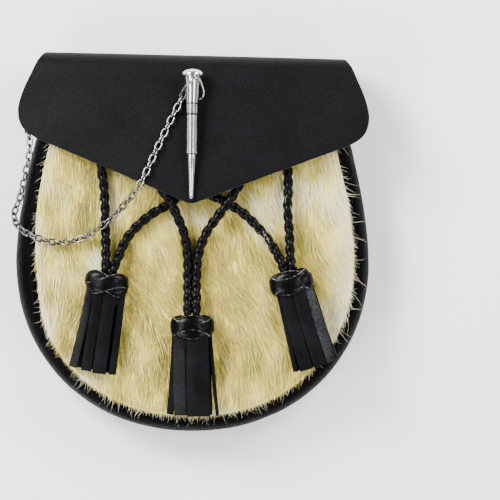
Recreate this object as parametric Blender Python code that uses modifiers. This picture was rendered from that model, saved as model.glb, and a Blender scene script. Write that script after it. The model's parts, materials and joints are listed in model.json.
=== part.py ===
"""Sporran pouch: a rounded leather pouch with a fur front, a pointed flap, a pin on a chain and tassels.

The pouch lies on its back. +X is its right as seen from the front, +Y points to its folded top edge and
+Z comes out of its front. Sizes below are in millimetres and become metres when a mesh is made.
The origin is the middle of the back, on the face that it lies on.
"""
from collections import namedtuple
from math import asin, atan2, ceil, cos, pi, radians, sin

import bmesh
import bpy
import numpy as np
from mathutils import Matrix, Vector

MM = 0.001
GAP = 0.3                       # air between two neighbouring pieces

# ---- outline of the body, seen from the front ------------------------------------------------------
BODY_HALF_WIDTH = 109.7
BODY_WIDEST_Y = -11.0
BODY_BOTTOM_Y = -117.5
BODY_TOP_Y = 113.0              # where the upper curve would end
BODY_BOTTOM_POWER = 2.12        # a little squarer than an ellipse
BODY_TOP_TAPER = 0.251          # share of the width lost at the top
BODY_TAPER_POWER = 1.6
OUTLINE_STEPS = 240
OUTLINE_PITCH = 0.5
CORNER_TURNS = (30.0, 60.0, 90.0)  # degrees, points round a panel's corner

# ---- leather body ----------------------------------------------------------------------------------
LEATHER = 2.0
BACK_INSET = 3.5
BACK_TOP_Y = 104.0
BACK_CORNER = 10.0
BACK_POINTS = 30

GUSSET_TOP_Y = 96.0
GUSSET_STATIONS = 21
GussetPoint = namedtuple("GussetPoint", "out height")
GUSSET_SECTION = (              # outer face, from the back seam round to the front seam
    GussetPoint(-11.5, 2.3),
    GussetPoint(-4.6, 2.3),
    GussetPoint(-1.4, 5.2),
    GussetPoint(0.0, 12.5),
    GussetPoint(-0.6, 20.0),
    GussetPoint(-3.4, 26.4),
    GussetPoint(-8.4, 29.8),
    GussetPoint(-15.5, 30.3),
)

# ---- fur front -------------------------------------------------------------------------------------
FUR_INSET = 9.6                 # from the body's outline to the cut edge of the hide
FUR_TOP_Y = 88.0
FUR_CORNER = 6.0
FUR_POINTS = 30
HIDE_SEAT = 30.6                # underside of the hide on the gusset's flange
HIDE = 1.8
HIDE_DOME = 3.5
DOME_START = 7.0                # from the hide's edge, the flat margin that is sewn
DOME_REACH = 55.0
NAP = 3.5                       # the fur's height over the hide
NAP_EDGE = 9.0                  # the nap thins out over this distance from the hide's edge
NAP_EDGE_SHARE = 0.3            # what is left of it at the edge
COVER_START = 4.0               # from the flap's lower edge, where the fur begins to lie flat
COVER_REACH = 10.0
COVER_SHARE = 0.95              # height of the flattened fur, as a share of the nap
LOCK_WIDTH = 22.0
LOCK_LENGTH = 26.0
LOCK_TIP = 5.0                  # how far a lock's tip hangs below the valley beside it
LOCK_STEP = 1.3                 # run of the step under a tip
LOCK_LOW = 0.25                 # height at a lock's root, as a share of the nap
LOCK_SIDE = 0.6                 # height at a lock's sides
LOCK_STRAY_X = 0.8
LOCK_STRAY_Y = 1.6
LOCK_START = 6.0                # the first row of locks begins this far above the hide
LOCK_SEED = 7
FUR_FLOOR = HIDE_SEAT - 10.0    # depth of the block that the hide is cut from
CUTTER_MARGIN = 5.0
HOLLOW_MIDDLE = (0.0, -15.0)
HOLLOW_SHARES = (1.12, 0.9, 0.7, 0.45, 0.2)     # rings of the hollow's roof, as shares of the hide's outline

# ---- flap ------------------------------------------------------------------------------------------
FLAP = 2.5
FLAP_TURN = -1.4                # degrees, the flap sits slightly askew
FLAP_PIVOT_Y = 45.0
FLAP_BACK_Z = LEATHER + GAP + FLAP / 2
FLAP_FRONT_Y = 102.0            # where the fold runs out into the front
FLAP_FRONT_Z = 41.5             # middle of the leather there, on the centre line
FLAP_TIP_Z = 52.5
FLAP_DROOP = 11.0               # the sides hang lower than the centre line
FLAP_DROOP_POWER = 2.2
FLAP_HALF_WIDTH = 108.6
FLAP_SIDE_BULGE = 1.5
FLAP_FRONT_ROWS = (0.3, 0.65, 1.0)
FoldRow = namedtuple("FoldRow", "y rise half_width")
FLAP_FOLD = (                   # rise is the share of the way from the back to the front
    FoldRow(92.0, 0.0, 74.0),
    FoldRow(103.0, 0.0, 81.0),
    FoldRow(110.5, 0.12, 88.0),
    FoldRow(114.0, 0.34, 91.0),
    FoldRow(114.6, 0.56, 92.7),
    FoldRow(112.8, 0.80, 94.8),
    FoldRow(108.6, 0.95, 98.0),
    FoldRow(FLAP_FRONT_Y, 1.0, 101.0),
)
EdgePoint = namedtuple("EdgePoint", "x y")
FLAP_EDGE = (                   # lower edge, from the tip to where the side begins
    EdgePoint(0.0, 23.9),
    EdgePoint(5.0, 25.3),
    EdgePoint(49.0, 43.1),
    EdgePoint(94.0, 60.8),
    EdgePoint(101.0, 64.3),
    EdgePoint(105.6, 68.4),
    EdgePoint(107.9, 73.4),
    EdgePoint(FLAP_HALF_WIDTH, 79.6),
)

# ---- pin, its post and its ring --------------------------------------------------------------------
PIN_HEAD = (0.4, 107.6, 49.2)
PIN_TIP = (-0.5, 26.3, 55.2)
PIN_SIDES = 12
PinPoint = namedtuple("PinPoint", "along radius")
PIN_PROFILE = (
    PinPoint(0.0, 0.0),
    PinPoint(0.5, 3.2),
    PinPoint(2.0, 5.6),
    PinPoint(4.0, 6.4),
    PinPoint(5.3, 6.1),
    PinPoint(5.8, 4.7),
    PinPoint(20.6, 3.25),
    PinPoint(21.2, 2.7),
    PinPoint(21.9, 3.35),
    PinPoint(37.2, 3.0),
    PinPoint(37.9, 3.35),
    PinPoint(53.3, 3.3),
    PinPoint(54.3, 2.3),
    PinPoint(79.8, 1.25),
    PinPoint(81.4, 0.0),
)
POST_ALONG = 31.0
POST_RADIUS = 2.2
PIN_RADIUS_AT_POST = 3.15
PIN_RING_ALONG = 12.7
PIN_RING_RADIUS = 6.85          # to the middle of the wire
PIN_RING_WIRE = 1.2
PIN_RING_TILT = 45.0            # degrees out of the plane square to the pin
PIN_RING_RISE = 0.8             # its middle over the pin's axis
PIN_RING_POINTS = 16

# ---- chain -----------------------------------------------------------------------------------------
LINK_WIRE = 1.1
LINK_LENGTH = 6.45
LINK_WIDTH = 4.7
LINK_OVERLAP = 0.18             # how deep two links' wires sink into each other
LINK_SIDES = 5
LINK_TURNS = (-80.0, -40.0, 0.0, 40.0, 80.0)    # degrees, the points round each end of a link
LINK_ROLL = 25.0                # degrees, every second link is turned a further 90
LINK_LAST_ROLL = 90.0           # the last link stands square to the hanger ring's wire
LINK_TWIST_POWER = 6            # the chain takes up the difference close to its end
RoutePoint = namedtuple("RoutePoint", "x y z")
CHAIN_ROUTE = (
    RoutePoint(-5.1, 93.1, 48.1),
    RoutePoint(-6.6, 87.6, 47.9),
    RoutePoint(-11.0, 79.5, 48.4),
    RoutePoint(-22.0, 56.5, 51.3),
    RoutePoint(-31.0, 37.2, 53.6),
    RoutePoint(-36.8, 28.6, 52.6),
    RoutePoint(-41.8, 22.9, 50.4),
    RoutePoint(-47.1, 17.3, 48.0),
    RoutePoint(-53.0, 11.8, 46.3),
    RoutePoint(-61.5, 6.0, 43.2),
    RoutePoint(-68.4, 2.2, 40.6),
    RoutePoint(-77.1, 0.0, 39.6),
    RoutePoint(-85.0, -0.4, 38.4),
    RoutePoint(-93.3, 1.5, 37.6),
    RoutePoint(-99.6, 4.1, 36.6),
    RoutePoint(-104.6, 6.9, 32.8),
    RoutePoint(-109.3, 11.0, 26.8),
    RoutePoint(-110.9, 16.1, 23.4),
    RoutePoint(-109.6, 21.2, 23.0),
    RoutePoint(-107.1, 27.3, 23.9),
    RoutePoint(-105.2, 35.3, 24.4),
    RoutePoint(-102.9, 45.5, 24.6),
    RoutePoint(-101.2, 54.5, 24.0),
    RoutePoint(-101.2, 63.0, 21.8),
    RoutePoint(-102.4, 70.4, 18.2),
    RoutePoint(-103.1, 76.6, 13.8),
    RoutePoint(-101.0, 82.0, 9.4),
)

# ---- tassels, knots and cords ----------------------------------------------------------------------
CORD = 4.8
CORD_RESOLUTION = 2
CORD_STEP = 3.0                 # points along a cord, in cord diameters
CORD_END_STEP = 3.0             # the last point but one, from the cord's end
CURVE_STEP = 0.25
CORD_LEFT_ROUTE = (             # from the left knot up, over under the flap, down to the middle knot
    RoutePoint(-54.0, -18.3, 46.4),
    RoutePoint(-53.3, -14.2, 46.2),
    RoutePoint(-53.3, -7.0, 43.4),
    RoutePoint(-53.5, 5.0, 41.6),
    RoutePoint(-53.7, 18.0, 41.4),
    RoutePoint(-54.4, 33.0, 41.1),
    RoutePoint(-56.0, 45.0, 41.0),
    RoutePoint(-54.5, 53.5, 41.2),
    RoutePoint(-47.0, 58.0, 41.4),
    RoutePoint(-37.0, 54.5, 41.9),
    RoutePoint(-27.5, 43.5, 43.0),
    RoutePoint(-19.5, 33.0, 45.8),
    RoutePoint(-13.3, 24.6, 47.5),
    RoutePoint(-9.0, 15.5, 46.0),
    RoutePoint(-4.8, 4.5, 42.9),
    RoutePoint(-2.9, -8.0, 42.1),
    RoutePoint(-2.6, -22.0, 42.3),
    RoutePoint(-2.6, -34.0, 44.6),
    RoutePoint(-2.6, -41.5, 47.5),
    RoutePoint(-2.6, -45.5, 47.7),
)
CORD_MIDDLE_ROUTE = (           # from the left knot over to the right one, under both other cords
    RoutePoint(-48.8, -19.0, 46.4),
    RoutePoint(-47.9, -15.0, 46.2),
    RoutePoint(-45.0, -8.0, 43.4),
    RoutePoint(-40.8, 1.5, 41.9),
    RoutePoint(-33.2, 10.6, 42.0),
    RoutePoint(-24.4, 17.6, 42.0),
    RoutePoint(-15.6, 22.6, 41.9),
    RoutePoint(-8.0, 28.0, 41.9),
    RoutePoint(2.0, 31.5, 42.0),
    RoutePoint(12.5, 28.5, 41.9),
    RoutePoint(22.2, 23.8, 41.9),
    RoutePoint(32.0, 17.4, 42.0),
    RoutePoint(42.0, 7.6, 42.0),
    RoutePoint(50.6, -4.4, 42.4),
    RoutePoint(56.0, -14.8, 46.2),
    RoutePoint(57.1, -18.7, 46.4),
)
CORD_RIGHT_ROUTE = (            # from the middle knot over under the flap, down to the right knot
    RoutePoint(2.6, -45.5, 47.7),
    RoutePoint(2.6, -41.5, 47.5),
    RoutePoint(2.6, -34.0, 44.6),
    RoutePoint(2.6, -22.0, 42.3),
    RoutePoint(3.8, -8.0, 42.1),
    RoutePoint(8.4, 5.0, 42.9),
    RoutePoint(16.0, 16.0, 46.0),
    RoutePoint(22.4, 24.4, 47.5),
    RoutePoint(28.0, 33.4, 45.8),
    RoutePoint(34.5, 44.5, 43.0),
    RoutePoint(43.0, 53.5, 41.9),
    RoutePoint(52.0, 56.0, 41.3),
    RoutePoint(58.2, 50.0, 40.9),
    RoutePoint(59.4, 38.0, 40.7),
    RoutePoint(59.1, 20.0, 41.0),
    RoutePoint(60.2, 4.0, 41.4),
    RoutePoint(60.6, -7.0, 43.4),
    RoutePoint(61.2, -13.6, 46.2),
    RoutePoint(62.1, -17.6, 46.4),
)

TasselPlace = namedtuple("TasselPlace", "side x y z lean rest")
TASSELS = (                     # the knot's middle, degrees from straight down, height where the strips end
    TasselPlace("left", -52.6, -26.0, 47.2, -9.0, 38.2),
    TasselPlace("middle", 0.0, -53.0, 48.0, 0.0, 37.0),
    TasselPlace("right", 61.2, -25.4, 47.2, 13.0, 38.2),
)
KNOT_SIDES = 12
KNOT_FLAT = 0.56                # depth over width
KnotRing = namedtuple("KnotRing", "along radius")
KNOT_PROFILE = (
    KnotRing(-6.8, 9.0),
    KnotRing(-4.4, 12.4),
    KnotRing(1.0, 13.0),
    KnotRing(4.9, 11.2),
    KnotRing(6.8, 7.8),
)
HEAD_LENGTH = 5.0
HEAD_HALF_WIDTH = 11.0
HEAD_HALF_DEPTH = 4.6
HEAD_SIDES = 12
HEAD_EDGE = 1.2                 # its rounded upper edge
HEAD_EDGE_SHARE = 0.72
STRIP_THICKNESS = 1.5
STRIP_SINK = 3.0                # from the head's lower end up into it
STRIP_FALL = 1.25               # the strips curve down: 1 is straight
STRIP_SPLAY = 1.3               # and outwards
STRIP_STATIONS = 3
StripRow = namedtuple("StripRow", "across lift width length splay layer")
STRIP_ROWS = (                  # splay and layer, the height over the tassel's rest, are at the strip's end
    StripRow(-4.4, -3.5, 6.2, 47.5, -1.2, 0.0),
    StripRow(3.8, -3.5, 6.2, 48.5, 1.0, 0.0),
    StripRow(-10.0, 0.0, 5.2, 46.5, -2.2, 0.6),
    StripRow(-4.7, 3.1, 5.0, 49.0, -1.2, 2.2),
    StripRow(0.7, 3.3, 5.2, 50.0, 0.0, 2.3),
    StripRow(6.1, 2.9, 5.0, 49.2, 1.0, 2.2),
    StripRow(10.8, -0.4, 3.8, 48.0, 4.4, 0.8),
)

# ---- hanger tabs and rings -------------------------------------------------------------------------
HANGER_Y = 85.0
HANGER_Z = 10.5
TAB_WIDTH = 9.0
TAB_TAIL = 4.6                  # from the gusset's face to the ring's bar
TAB_HALF_THICKNESS = 1.7
TAB_LOOP_RADIUS = 2.9
TAB_BORE = 1.35
TAB_LOOP_POINTS = 15
TAB_BORE_POINTS = 10
RING_WIRE = 1.8
RING_BAR = 15.0
RING_DEPTH = 8.8
RING_ARC_POINTS = 8
RING_CORNER = 1.8
RING_CORNER_CUT = 0.54          # how far the corner's middle point stands inside the square corner


# ---- small helpers ---------------------------------------------------------------------------------
def clear_scene():
    for obj in list(bpy.data.objects):
        bpy.data.objects.remove(obj, do_unlink=True)


def make_collection(name):
    collection = bpy.data.collections.new(name)
    bpy.context.scene.collection.children.link(collection)
    return collection


def make_material(name, colour, roughness, metallic=0.0):
    material = bpy.data.materials.new(name)
    material.use_nodes = True
    shader = material.node_tree.nodes["Principled BSDF"]
    shader.inputs["Base Color"].default_value = (*colour, 1.0)
    shader.inputs["Roughness"].default_value = roughness
    shader.inputs["Metallic"].default_value = metallic
    return material


def mesh_object(name, points, faces, collection, material=None):
    """An object from points in millimetres."""
    mesh = bpy.data.meshes.new(name)
    mesh.from_pydata([tuple(c * MM for c in p) for p in points], [], faces)
    mesh.update()
    obj = bpy.data.objects.new(name, mesh)
    collection.objects.link(obj)
    if material:
        mesh.materials.append(material)
    return obj


def point_outwards(obj):
    """Gives a closed mesh outward faces."""
    bm = bmesh.new()
    bm.from_mesh(obj.data)
    bmesh.ops.recalc_face_normals(bm, faces=bm.faces)
    bm.to_mesh(obj.data)
    bm.free()


def smooth(obj, angle=40.0):
    obj.data.shade_smooth()
    obj.data.set_sharp_from_angle(angle=radians(angle))


def as_mesh(obj, weld=0.0):
    """Replaces a curve or a mesh with modifiers by its plain evaluated mesh."""
    graph = bpy.context.evaluated_depsgraph_get()
    mesh = bpy.data.meshes.new_from_object(obj.evaluated_get(graph))
    if weld:
        bm = bmesh.new()
        bm.from_mesh(mesh)
        bmesh.ops.remove_doubles(bm, verts=bm.verts, dist=weld * MM)
        bmesh.ops.recalc_face_normals(bm, faces=bm.faces)
        bm.to_mesh(mesh)
        bm.free()
    name, place, collection = obj.name, obj.matrix_world.copy(), obj.users_collection[0]
    bpy.data.objects.remove(obj, do_unlink=True)
    mesh.name = name
    plain = bpy.data.objects.new(name, mesh)
    plain.matrix_world = place
    collection.objects.link(plain)
    return plain


def hide_cutter(obj):
    obj.hide_render = True
    obj.display_type = "WIRE"


def boolean(obj, cutter, operation):
    modifier = obj.modifiers.new(operation.lower(), "BOOLEAN")
    modifier.operation = operation
    modifier.object = cutter
    modifier.solver = "EXACT"


def grid_faces(rows, columns, flip=False):
    """Quads of a grid whose points are stored row by row."""
    faces = []
    for row in range(rows - 1):
        for column in range(columns - 1):
            a = row * columns + column
            face = (a, a + 1, a + columns + 1, a + columns)
            faces.append(face[::-1] if flip else face)
    return faces


def prism(name, outline, low, high, collection, material=None):
    """A flat closed outline, as a filled 2D curve with thickness."""
    curve = bpy.data.curves.new(name, "CURVE")
    curve.dimensions = "2D"
    curve.fill_mode = "BOTH"
    curve.extrude = (high - low) / 2 * MM
    spline = curve.splines.new("POLY")
    spline.points.add(len(outline) - 1)
    for point, (x, y) in zip(spline.points, outline):
        point.co = (x * MM, y * MM, 0.0, 1.0)
    spline.use_cyclic_u = True
    obj = bpy.data.objects.new(name, curve)
    obj.location.z = (low + high) / 2 * MM
    collection.objects.link(obj)
    bpy.context.view_layer.update()
    obj = as_mesh(obj, weld=0.01)
    if material:
        obj.data.materials.append(material)
    return obj


def tube(name, points, radius, resolution, collection, material, closed=False):
    """A wire or a cord: a bevelled polyline with filled ends."""
    curve = bpy.data.curves.new(name, "CURVE")
    curve.dimensions = "3D"
    curve.bevel_depth = radius * MM
    curve.bevel_resolution = resolution
    curve.use_fill_caps = not closed
    spline = curve.splines.new("POLY")
    spline.points.add(len(points) - 1)
    for point, place in zip(spline.points, points):
        point.co = (*(c * MM for c in place), 1.0)
    spline.use_cyclic_u = closed
    obj = bpy.data.objects.new(name, curve)
    collection.objects.link(obj)
    bpy.context.view_layer.update()
    obj = as_mesh(obj, weld=0.001)
    obj.data.materials.append(material)
    smooth(obj)
    return obj


def smooth_curve(points):
    """Closely spaced points on a smooth curve through the given ones."""
    given = [Vector(p) for p in points]
    ends = [given[0] * 2 - given[1], *given, given[-1] * 2 - given[-2]]
    dense = []
    for before, start, end, after in zip(ends, ends[1:], ends[2:], ends[3:]):
        for part in range(16):
            t = part / 16
            dense.append(0.5 * (2 * start + (end - before) * t
                                + (2 * before - 5 * start + 4 * end - after) * t ** 2
                                + (3 * start - before - 3 * end + after) * t ** 3))
    dense.append(given[-1])
    return resample([tuple(p) for p in dense], CURVE_STEP)


def resample(points, step):
    places = np.array(points)
    along = np.concatenate(([0.0], np.cumsum(np.linalg.norm(np.diff(places, axis=0), axis=1))))
    count = max(2, int(round(along[-1] / step)) + 1)
    wanted = np.linspace(0.0, along[-1], count)
    return np.stack([np.interp(wanted, along, places[:, axis]) for axis in range(places.shape[1])], axis=1)


def cord_path(route):
    """Points for a cord's tube, with one close to each end so that its ends face the knots."""
    curve = smooth_curve(route)
    path = resample(curve, CORD * CORD_STEP)
    near = round(CORD_END_STEP / CURVE_STEP)
    return [path[0], curve[near], *path[1:-1], curve[-1 - near], path[-1]]


# ---- body outline ----------------------------------------------------------------------------------
def body_half_width(y):
    if y >= BODY_WIDEST_Y:
        share = (y - BODY_WIDEST_Y) / (BODY_TOP_Y - BODY_WIDEST_Y)
        return BODY_HALF_WIDTH * (1 - BODY_TOP_TAPER * share ** BODY_TAPER_POWER)
    share = (BODY_WIDEST_Y - y) / (BODY_WIDEST_Y - BODY_BOTTOM_Y)
    return BODY_HALF_WIDTH * max(0.0, 1 - share ** BODY_BOTTOM_POWER) ** (1 / BODY_BOTTOM_POWER)


def body_outline(top_y):
    """The open outline from the top left, round the bottom, to the top right."""
    left = [(-body_half_width(y), y) for y in np.linspace(top_y, BODY_WIDEST_Y, OUTLINE_STEPS // 4)]
    power = 2 / BODY_BOTTOM_POWER
    bottom = []
    for angle in np.linspace(0.0, pi, OUTLINE_STEPS)[1:-1]:
        across = -BODY_HALF_WIDTH * np.sign(cos(angle)) * abs(cos(angle)) ** power
        down = BODY_WIDEST_Y + (BODY_BOTTOM_Y - BODY_WIDEST_Y) * sin(angle) ** power
        bottom.append((across, down))
    right = [(-x, y) for x, y in reversed(left)]
    return left + bottom + right


def outline_frames(top_y, count):
    """Evenly spaced (point, outward normal) pairs along the outline."""
    points = resample(body_outline(top_y), OUTLINE_PITCH)
    picked = np.linspace(0, len(points) - 1, count).astype(int)
    frames = []
    for index in picked:
        ahead = points[min(index + 2, len(points) - 1)] - points[max(index - 2, 0)]
        ahead /= np.linalg.norm(ahead)
        frames.append((points[index], np.array((ahead[1], -ahead[0]))))
    return frames


def panel_outline(inset, top_y, corner, count):
    """A closed panel: the outline moved inwards, with a straight top and rounded corners."""
    side = [tuple(point - normal * inset) for point, normal in outline_frames(top_y - corner, count)]
    corners = []
    for turn in CORNER_TURNS:
        angle = radians(turn)
        corners.append((side[-1][0] - corner * (1 - cos(angle)), top_y - corner + corner * sin(angle)))
    return side + corners + [(-x, y) for x, y in reversed(corners)]


def edge_distance(x, y, outline):
    """Distance from a point to a closed outline, negative outside it."""
    ring = np.array(outline)
    start, end = ring, np.roll(ring, -1, axis=0)
    run = end - start
    share = np.clip(((x - start[:, 0]) * run[:, 0] + (y - start[:, 1]) * run[:, 1])
                    / np.maximum((run ** 2).sum(axis=1), 1e-9), 0.0, 1.0)
    near = np.hypot(start[:, 0] + share * run[:, 0] - x, start[:, 1] + share * run[:, 1] - y).min()
    above = (start[:, 1] > y) != (end[:, 1] > y)
    crossing = start[above, 0] + (y - start[above, 1]) / run[above, 1] * run[above, 0]
    inside = (crossing > x).sum() % 2 == 1
    return near if inside else -near


def ease(share):
    share = min(1.0, max(0.0, share))
    return share * share * (3 - 2 * share)


# ---- leather body ----------------------------------------------------------------------------------
def build_back_panel(parts, leather):
    outline = panel_outline(BACK_INSET, BACK_TOP_Y, BACK_CORNER, BACK_POINTS)
    return prism("back_panel", outline, 0.0, LEATHER, parts, leather)


def build_gusset(parts, leather):
    frames = outline_frames(GUSSET_TOP_Y, GUSSET_STATIONS)
    points = []
    for point, normal in frames:
        for row in GUSSET_SECTION:
            points.append((*(point + normal * row.out), row.height))
    faces = grid_faces(GUSSET_STATIONS, len(GUSSET_SECTION), flip=True)
    gusset = mesh_object("gusset", points, faces, parts, leather)
    wall = gusset.modifiers.new("wall", "SOLIDIFY")
    wall.thickness = LEATHER * MM
    wall.offset = -1.0
    wall.use_even_offset = True
    smooth(gusset, 60.0)
    return gusset


# ---- fur front -------------------------------------------------------------------------------------
def hide_under(inside):
    """Height of the hide's underside at a distance inside its edge."""
    return HIDE_SEAT + HIDE_DOME * ease((inside - DOME_START) / DOME_REACH)


def flap_edge_y(x):
    return np.interp(abs(x), [row.x for row in FLAP_EDGE], [row.y for row in FLAP_EDGE])


def fur_height(x, y, inside, share):
    """Height of the fur where a lock stands share of the nap tall."""
    covered = ease((y - flap_edge_y(x) - COVER_START) / COVER_REACH)
    share = share + (COVER_SHARE - share) * covered
    thin = NAP_EDGE_SHARE + (1 - NAP_EDGE_SHARE) * ease(inside / NAP_EDGE)
    return hide_under(inside) + HIDE + NAP * thin * share


def build_fur_front(parts, cutters, fur):
    outline = panel_outline(FUR_INSET, FUR_TOP_Y, FUR_CORNER, FUR_POINTS)
    rng = np.random.default_rng(LOCK_SEED)
    columns = 2 * ceil(2 * BODY_HALF_WIDTH / LOCK_WIDTH) + 1
    start_x = -(columns - 1) / 2 * LOCK_WIDTH / 2
    rows = int((FUR_TOP_Y - BODY_BOTTOM_Y) / LOCK_LENGTH) + 2
    lines = []
    for row in range(rows + 1):
        crest, foot = [], []
        for column in range(columns):
            tip = (column + row) % 2 == 0
            x = start_x + column * LOCK_WIDTH / 2 + rng.uniform(-1, 1) * LOCK_STRAY_X
            y = FUR_TOP_Y + LOCK_START - row * LOCK_LENGTH + (-LOCK_TIP if tip else LOCK_TIP)
            y += rng.uniform(-1, 1) * LOCK_STRAY_Y
            inside = max(0.0, edge_distance(x, y, outline))
            crest.append((x, y, fur_height(x, y, inside, 1.0 if tip else LOCK_SIDE)))
            foot.append((x, y - LOCK_STEP, fur_height(x, y, inside, LOCK_LOW)))
        if row:
            lines.append(crest)
        if row < rows:
            lines.append(foot)
    top = [point for line in lines for point in line]
    count = len(top)
    points = top + [(x, y, FUR_FLOOR) for x, y, _ in top]
    faces = grid_faces(len(lines), columns)
    faces += [tuple(i + count for i in face[::-1]) for face in grid_faces(len(lines), columns)]
    border = (list(range(columns)) + [columns * line + columns - 1 for line in range(1, len(lines))]
              + [count - 2 - i for i in range(columns - 1)]
              + [columns * line for line in range(len(lines) - 2, 0, -1)])
    for a, b in zip(border, border[1:] + border[:1]):
        faces.append((a, b, b + count, a + count))
    fur_front = mesh_object("fur_front", points, faces, parts, fur)
    point_outwards(fur_front)
    shape = prism("fur_outline", outline, FUR_FLOOR - CUTTER_MARGIN, 2 * HIDE_SEAT, cutters)
    hide_cutter(shape)
    boolean(fur_front, shape, "INTERSECT")
    boolean(fur_front, build_hide_hollow(cutters, outline), "DIFFERENCE")
    return as_mesh(fur_front, weld=0.02)


def build_hide_hollow(cutters, outline):
    """The space under the hide: flat under its sewn margin, domed inside that."""
    middle = np.array(HOLLOW_MIDDLE)
    rim = [np.array(p) for p in outline[::2]]
    points, faces = [], []
    for share in HOLLOW_SHARES:
        for corner in rim:
            x, y = middle + (corner - middle) * share
            inside = max(0.0, edge_distance(x, y, outline))
            points.append((x, y, hide_under(inside)))
    count = len(rim)
    for ring in range(len(HOLLOW_SHARES) - 1):
        for i in range(count):
            a, b = ring * count + i, ring * count + (i + 1) % count
            faces.append((a, b, b + count, a + count))
    points.append((*middle, hide_under(DOME_REACH)))
    centre = len(points) - 1
    last = (len(HOLLOW_SHARES) - 1) * count
    faces += [(last + i, last + (i + 1) % count, centre) for i in range(count)]
    base = len(points)
    points += [(x, y, FUR_FLOOR - CUTTER_MARGIN) for x, y, _ in points[:count]]
    faces += [(i, (i + 1) % count, base + (i + 1) % count, base + i) for i in range(count)]
    faces.append(tuple(base + i for i in range(count)))
    hollow = mesh_object("hide_hollow", points, faces, cutters)
    point_outwards(hollow)
    hide_cutter(hollow)
    return hollow


# ---- flap ------------------------------------------------------------------------------------------
def flap_front_z(x, y):
    """Middle of the flap's leather on its front."""
    down = (FLAP_FRONT_Y - y) / (FLAP_FRONT_Y - FLAP_EDGE[0].y)
    centre = FLAP_FRONT_Z + (FLAP_TIP_Z - FLAP_FRONT_Z) * down
    return centre - FLAP_DROOP * (abs(x) / FLAP_HALF_WIDTH) ** FLAP_DROOP_POWER


def build_flap(parts, leather):
    edge = [EdgePoint(-row.x, row.y) for row in reversed(FLAP_EDGE[1:])] + list(FLAP_EDGE)
    points = []
    for row in FLAP_FOLD:
        for end in edge:
            x = end.x / FLAP_HALF_WIDTH * row.half_width
            front = flap_front_z(x, FLAP_FRONT_Y)
            points.append((x, row.y, FLAP_BACK_Z + (front - FLAP_BACK_Z) * row.rise))
    for share in FLAP_FRONT_ROWS:
        for end in edge:
            start_x = end.x / FLAP_HALF_WIDTH * FLAP_FOLD[-1].half_width
            x = start_x + (end.x - start_x) * (1 - (1 - share) ** FLAP_SIDE_BULGE)
            y = FLAP_FRONT_Y + (end.y - FLAP_FRONT_Y) * share
            points.append((x, y, flap_front_z(x, y)))
    turn = Matrix.Rotation(radians(FLAP_TURN), 3, "Z")
    pivot = Vector((0.0, FLAP_PIVOT_Y, 0.0))
    points = [turn @ (Vector(p) - pivot) + pivot for p in points]
    faces = grid_faces(len(FLAP_FOLD) + len(FLAP_FRONT_ROWS), len(edge))
    flap = mesh_object("flap", points, faces, parts, leather)
    sheet = flap.modifiers.new("sheet", "SOLIDIFY")
    sheet.thickness = FLAP * MM
    sheet.offset = 0.0
    sheet.use_even_offset = True
    smooth(flap, 60.0)
    return flap


# ---- pin, post and ring ----------------------------------------------------------------------------
def pin_axis(along):
    head, tip = Vector(PIN_HEAD), Vector(PIN_TIP)
    return head + (tip - head).normalized() * along


def pin_turn():
    """Turns local -Z onto the pin's direction, and keeps local X level."""
    return (Vector(PIN_TIP) - Vector(PIN_HEAD)).to_track_quat("-Z", "Y")


def build_pin(parts, steel):
    points = [(row.radius, 0.0, -row.along) for row in PIN_PROFILE]
    mesh = bpy.data.meshes.new("pin")
    edges = [(i, i + 1) for i in range(len(points) - 1)]
    mesh.from_pydata([tuple(c * MM for c in p) for p in points], edges, [])
    mesh.materials.append(steel)
    pin = bpy.data.objects.new("pin", mesh)
    parts.objects.link(pin)
    lathe = pin.modifiers.new("lathe", "SCREW")
    lathe.axis = "Z"
    lathe.steps = PIN_SIDES
    lathe.render_steps = PIN_SIDES
    lathe.use_merge_vertices = True
    lathe.merge_threshold = 0.00001
    pin.location = Vector(PIN_HEAD) * MM
    pin.rotation_mode = "QUATERNION"
    pin.rotation_quaternion = pin_turn()
    return pin


def build_pin_post(parts, steel):
    axis = pin_axis(POST_ALONG)
    low = flap_front_z(axis.x, axis.y) + FLAP / 2 + 2 * GAP
    high = axis.z - PIN_RADIUS_AT_POST - GAP
    bpy.ops.mesh.primitive_cylinder_add(vertices=PIN_SIDES, radius=POST_RADIUS * MM, depth=(high - low) * MM,
                                        location=Vector((axis.x, axis.y, (low + high) / 2)) * MM)
    post = bpy.context.object
    post.name = "pin_post"
    post.data.materials.append(steel)
    for collection in post.users_collection:
        collection.objects.unlink(post)
    parts.objects.link(post)
    return post


def pin_ring_point(angle):
    """A point on the middle of the ring's wire; 0 is its lowest place, behind the pin."""
    across = PIN_RING_RADIUS * sin(angle)
    down = PIN_RING_RADIUS * cos(angle)
    tilt = radians(PIN_RING_TILT)
    middle = pin_axis(PIN_RING_ALONG)
    rise = PIN_RING_RISE - down * sin(tilt)
    return Vector((middle.x + across, middle.y - down * cos(tilt), middle.z + rise))


def build_pin_ring(parts, wire):
    points = [pin_ring_point(2 * pi * i / PIN_RING_POINTS) for i in range(PIN_RING_POINTS)]
    return tube("pin_ring", points, PIN_RING_WIRE / 2, 1, parts, wire, closed=True)


# ---- chain -----------------------------------------------------------------------------------------
def link_points(middle, along, across):
    """A closed polygon of an oval link that lies in the plane of two directions."""
    half = (LINK_LENGTH - LINK_WIRE) / 2
    round_end = (LINK_WIDTH - LINK_WIRE) / 2
    points = []
    for end in (1, -1):
        for turn in LINK_TURNS:
            angle = radians(turn)
            reach = (half - round_end) + round_end * cos(angle)
            points.append(middle + along * end * reach + across * end * round_end * sin(angle))
    return points


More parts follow.
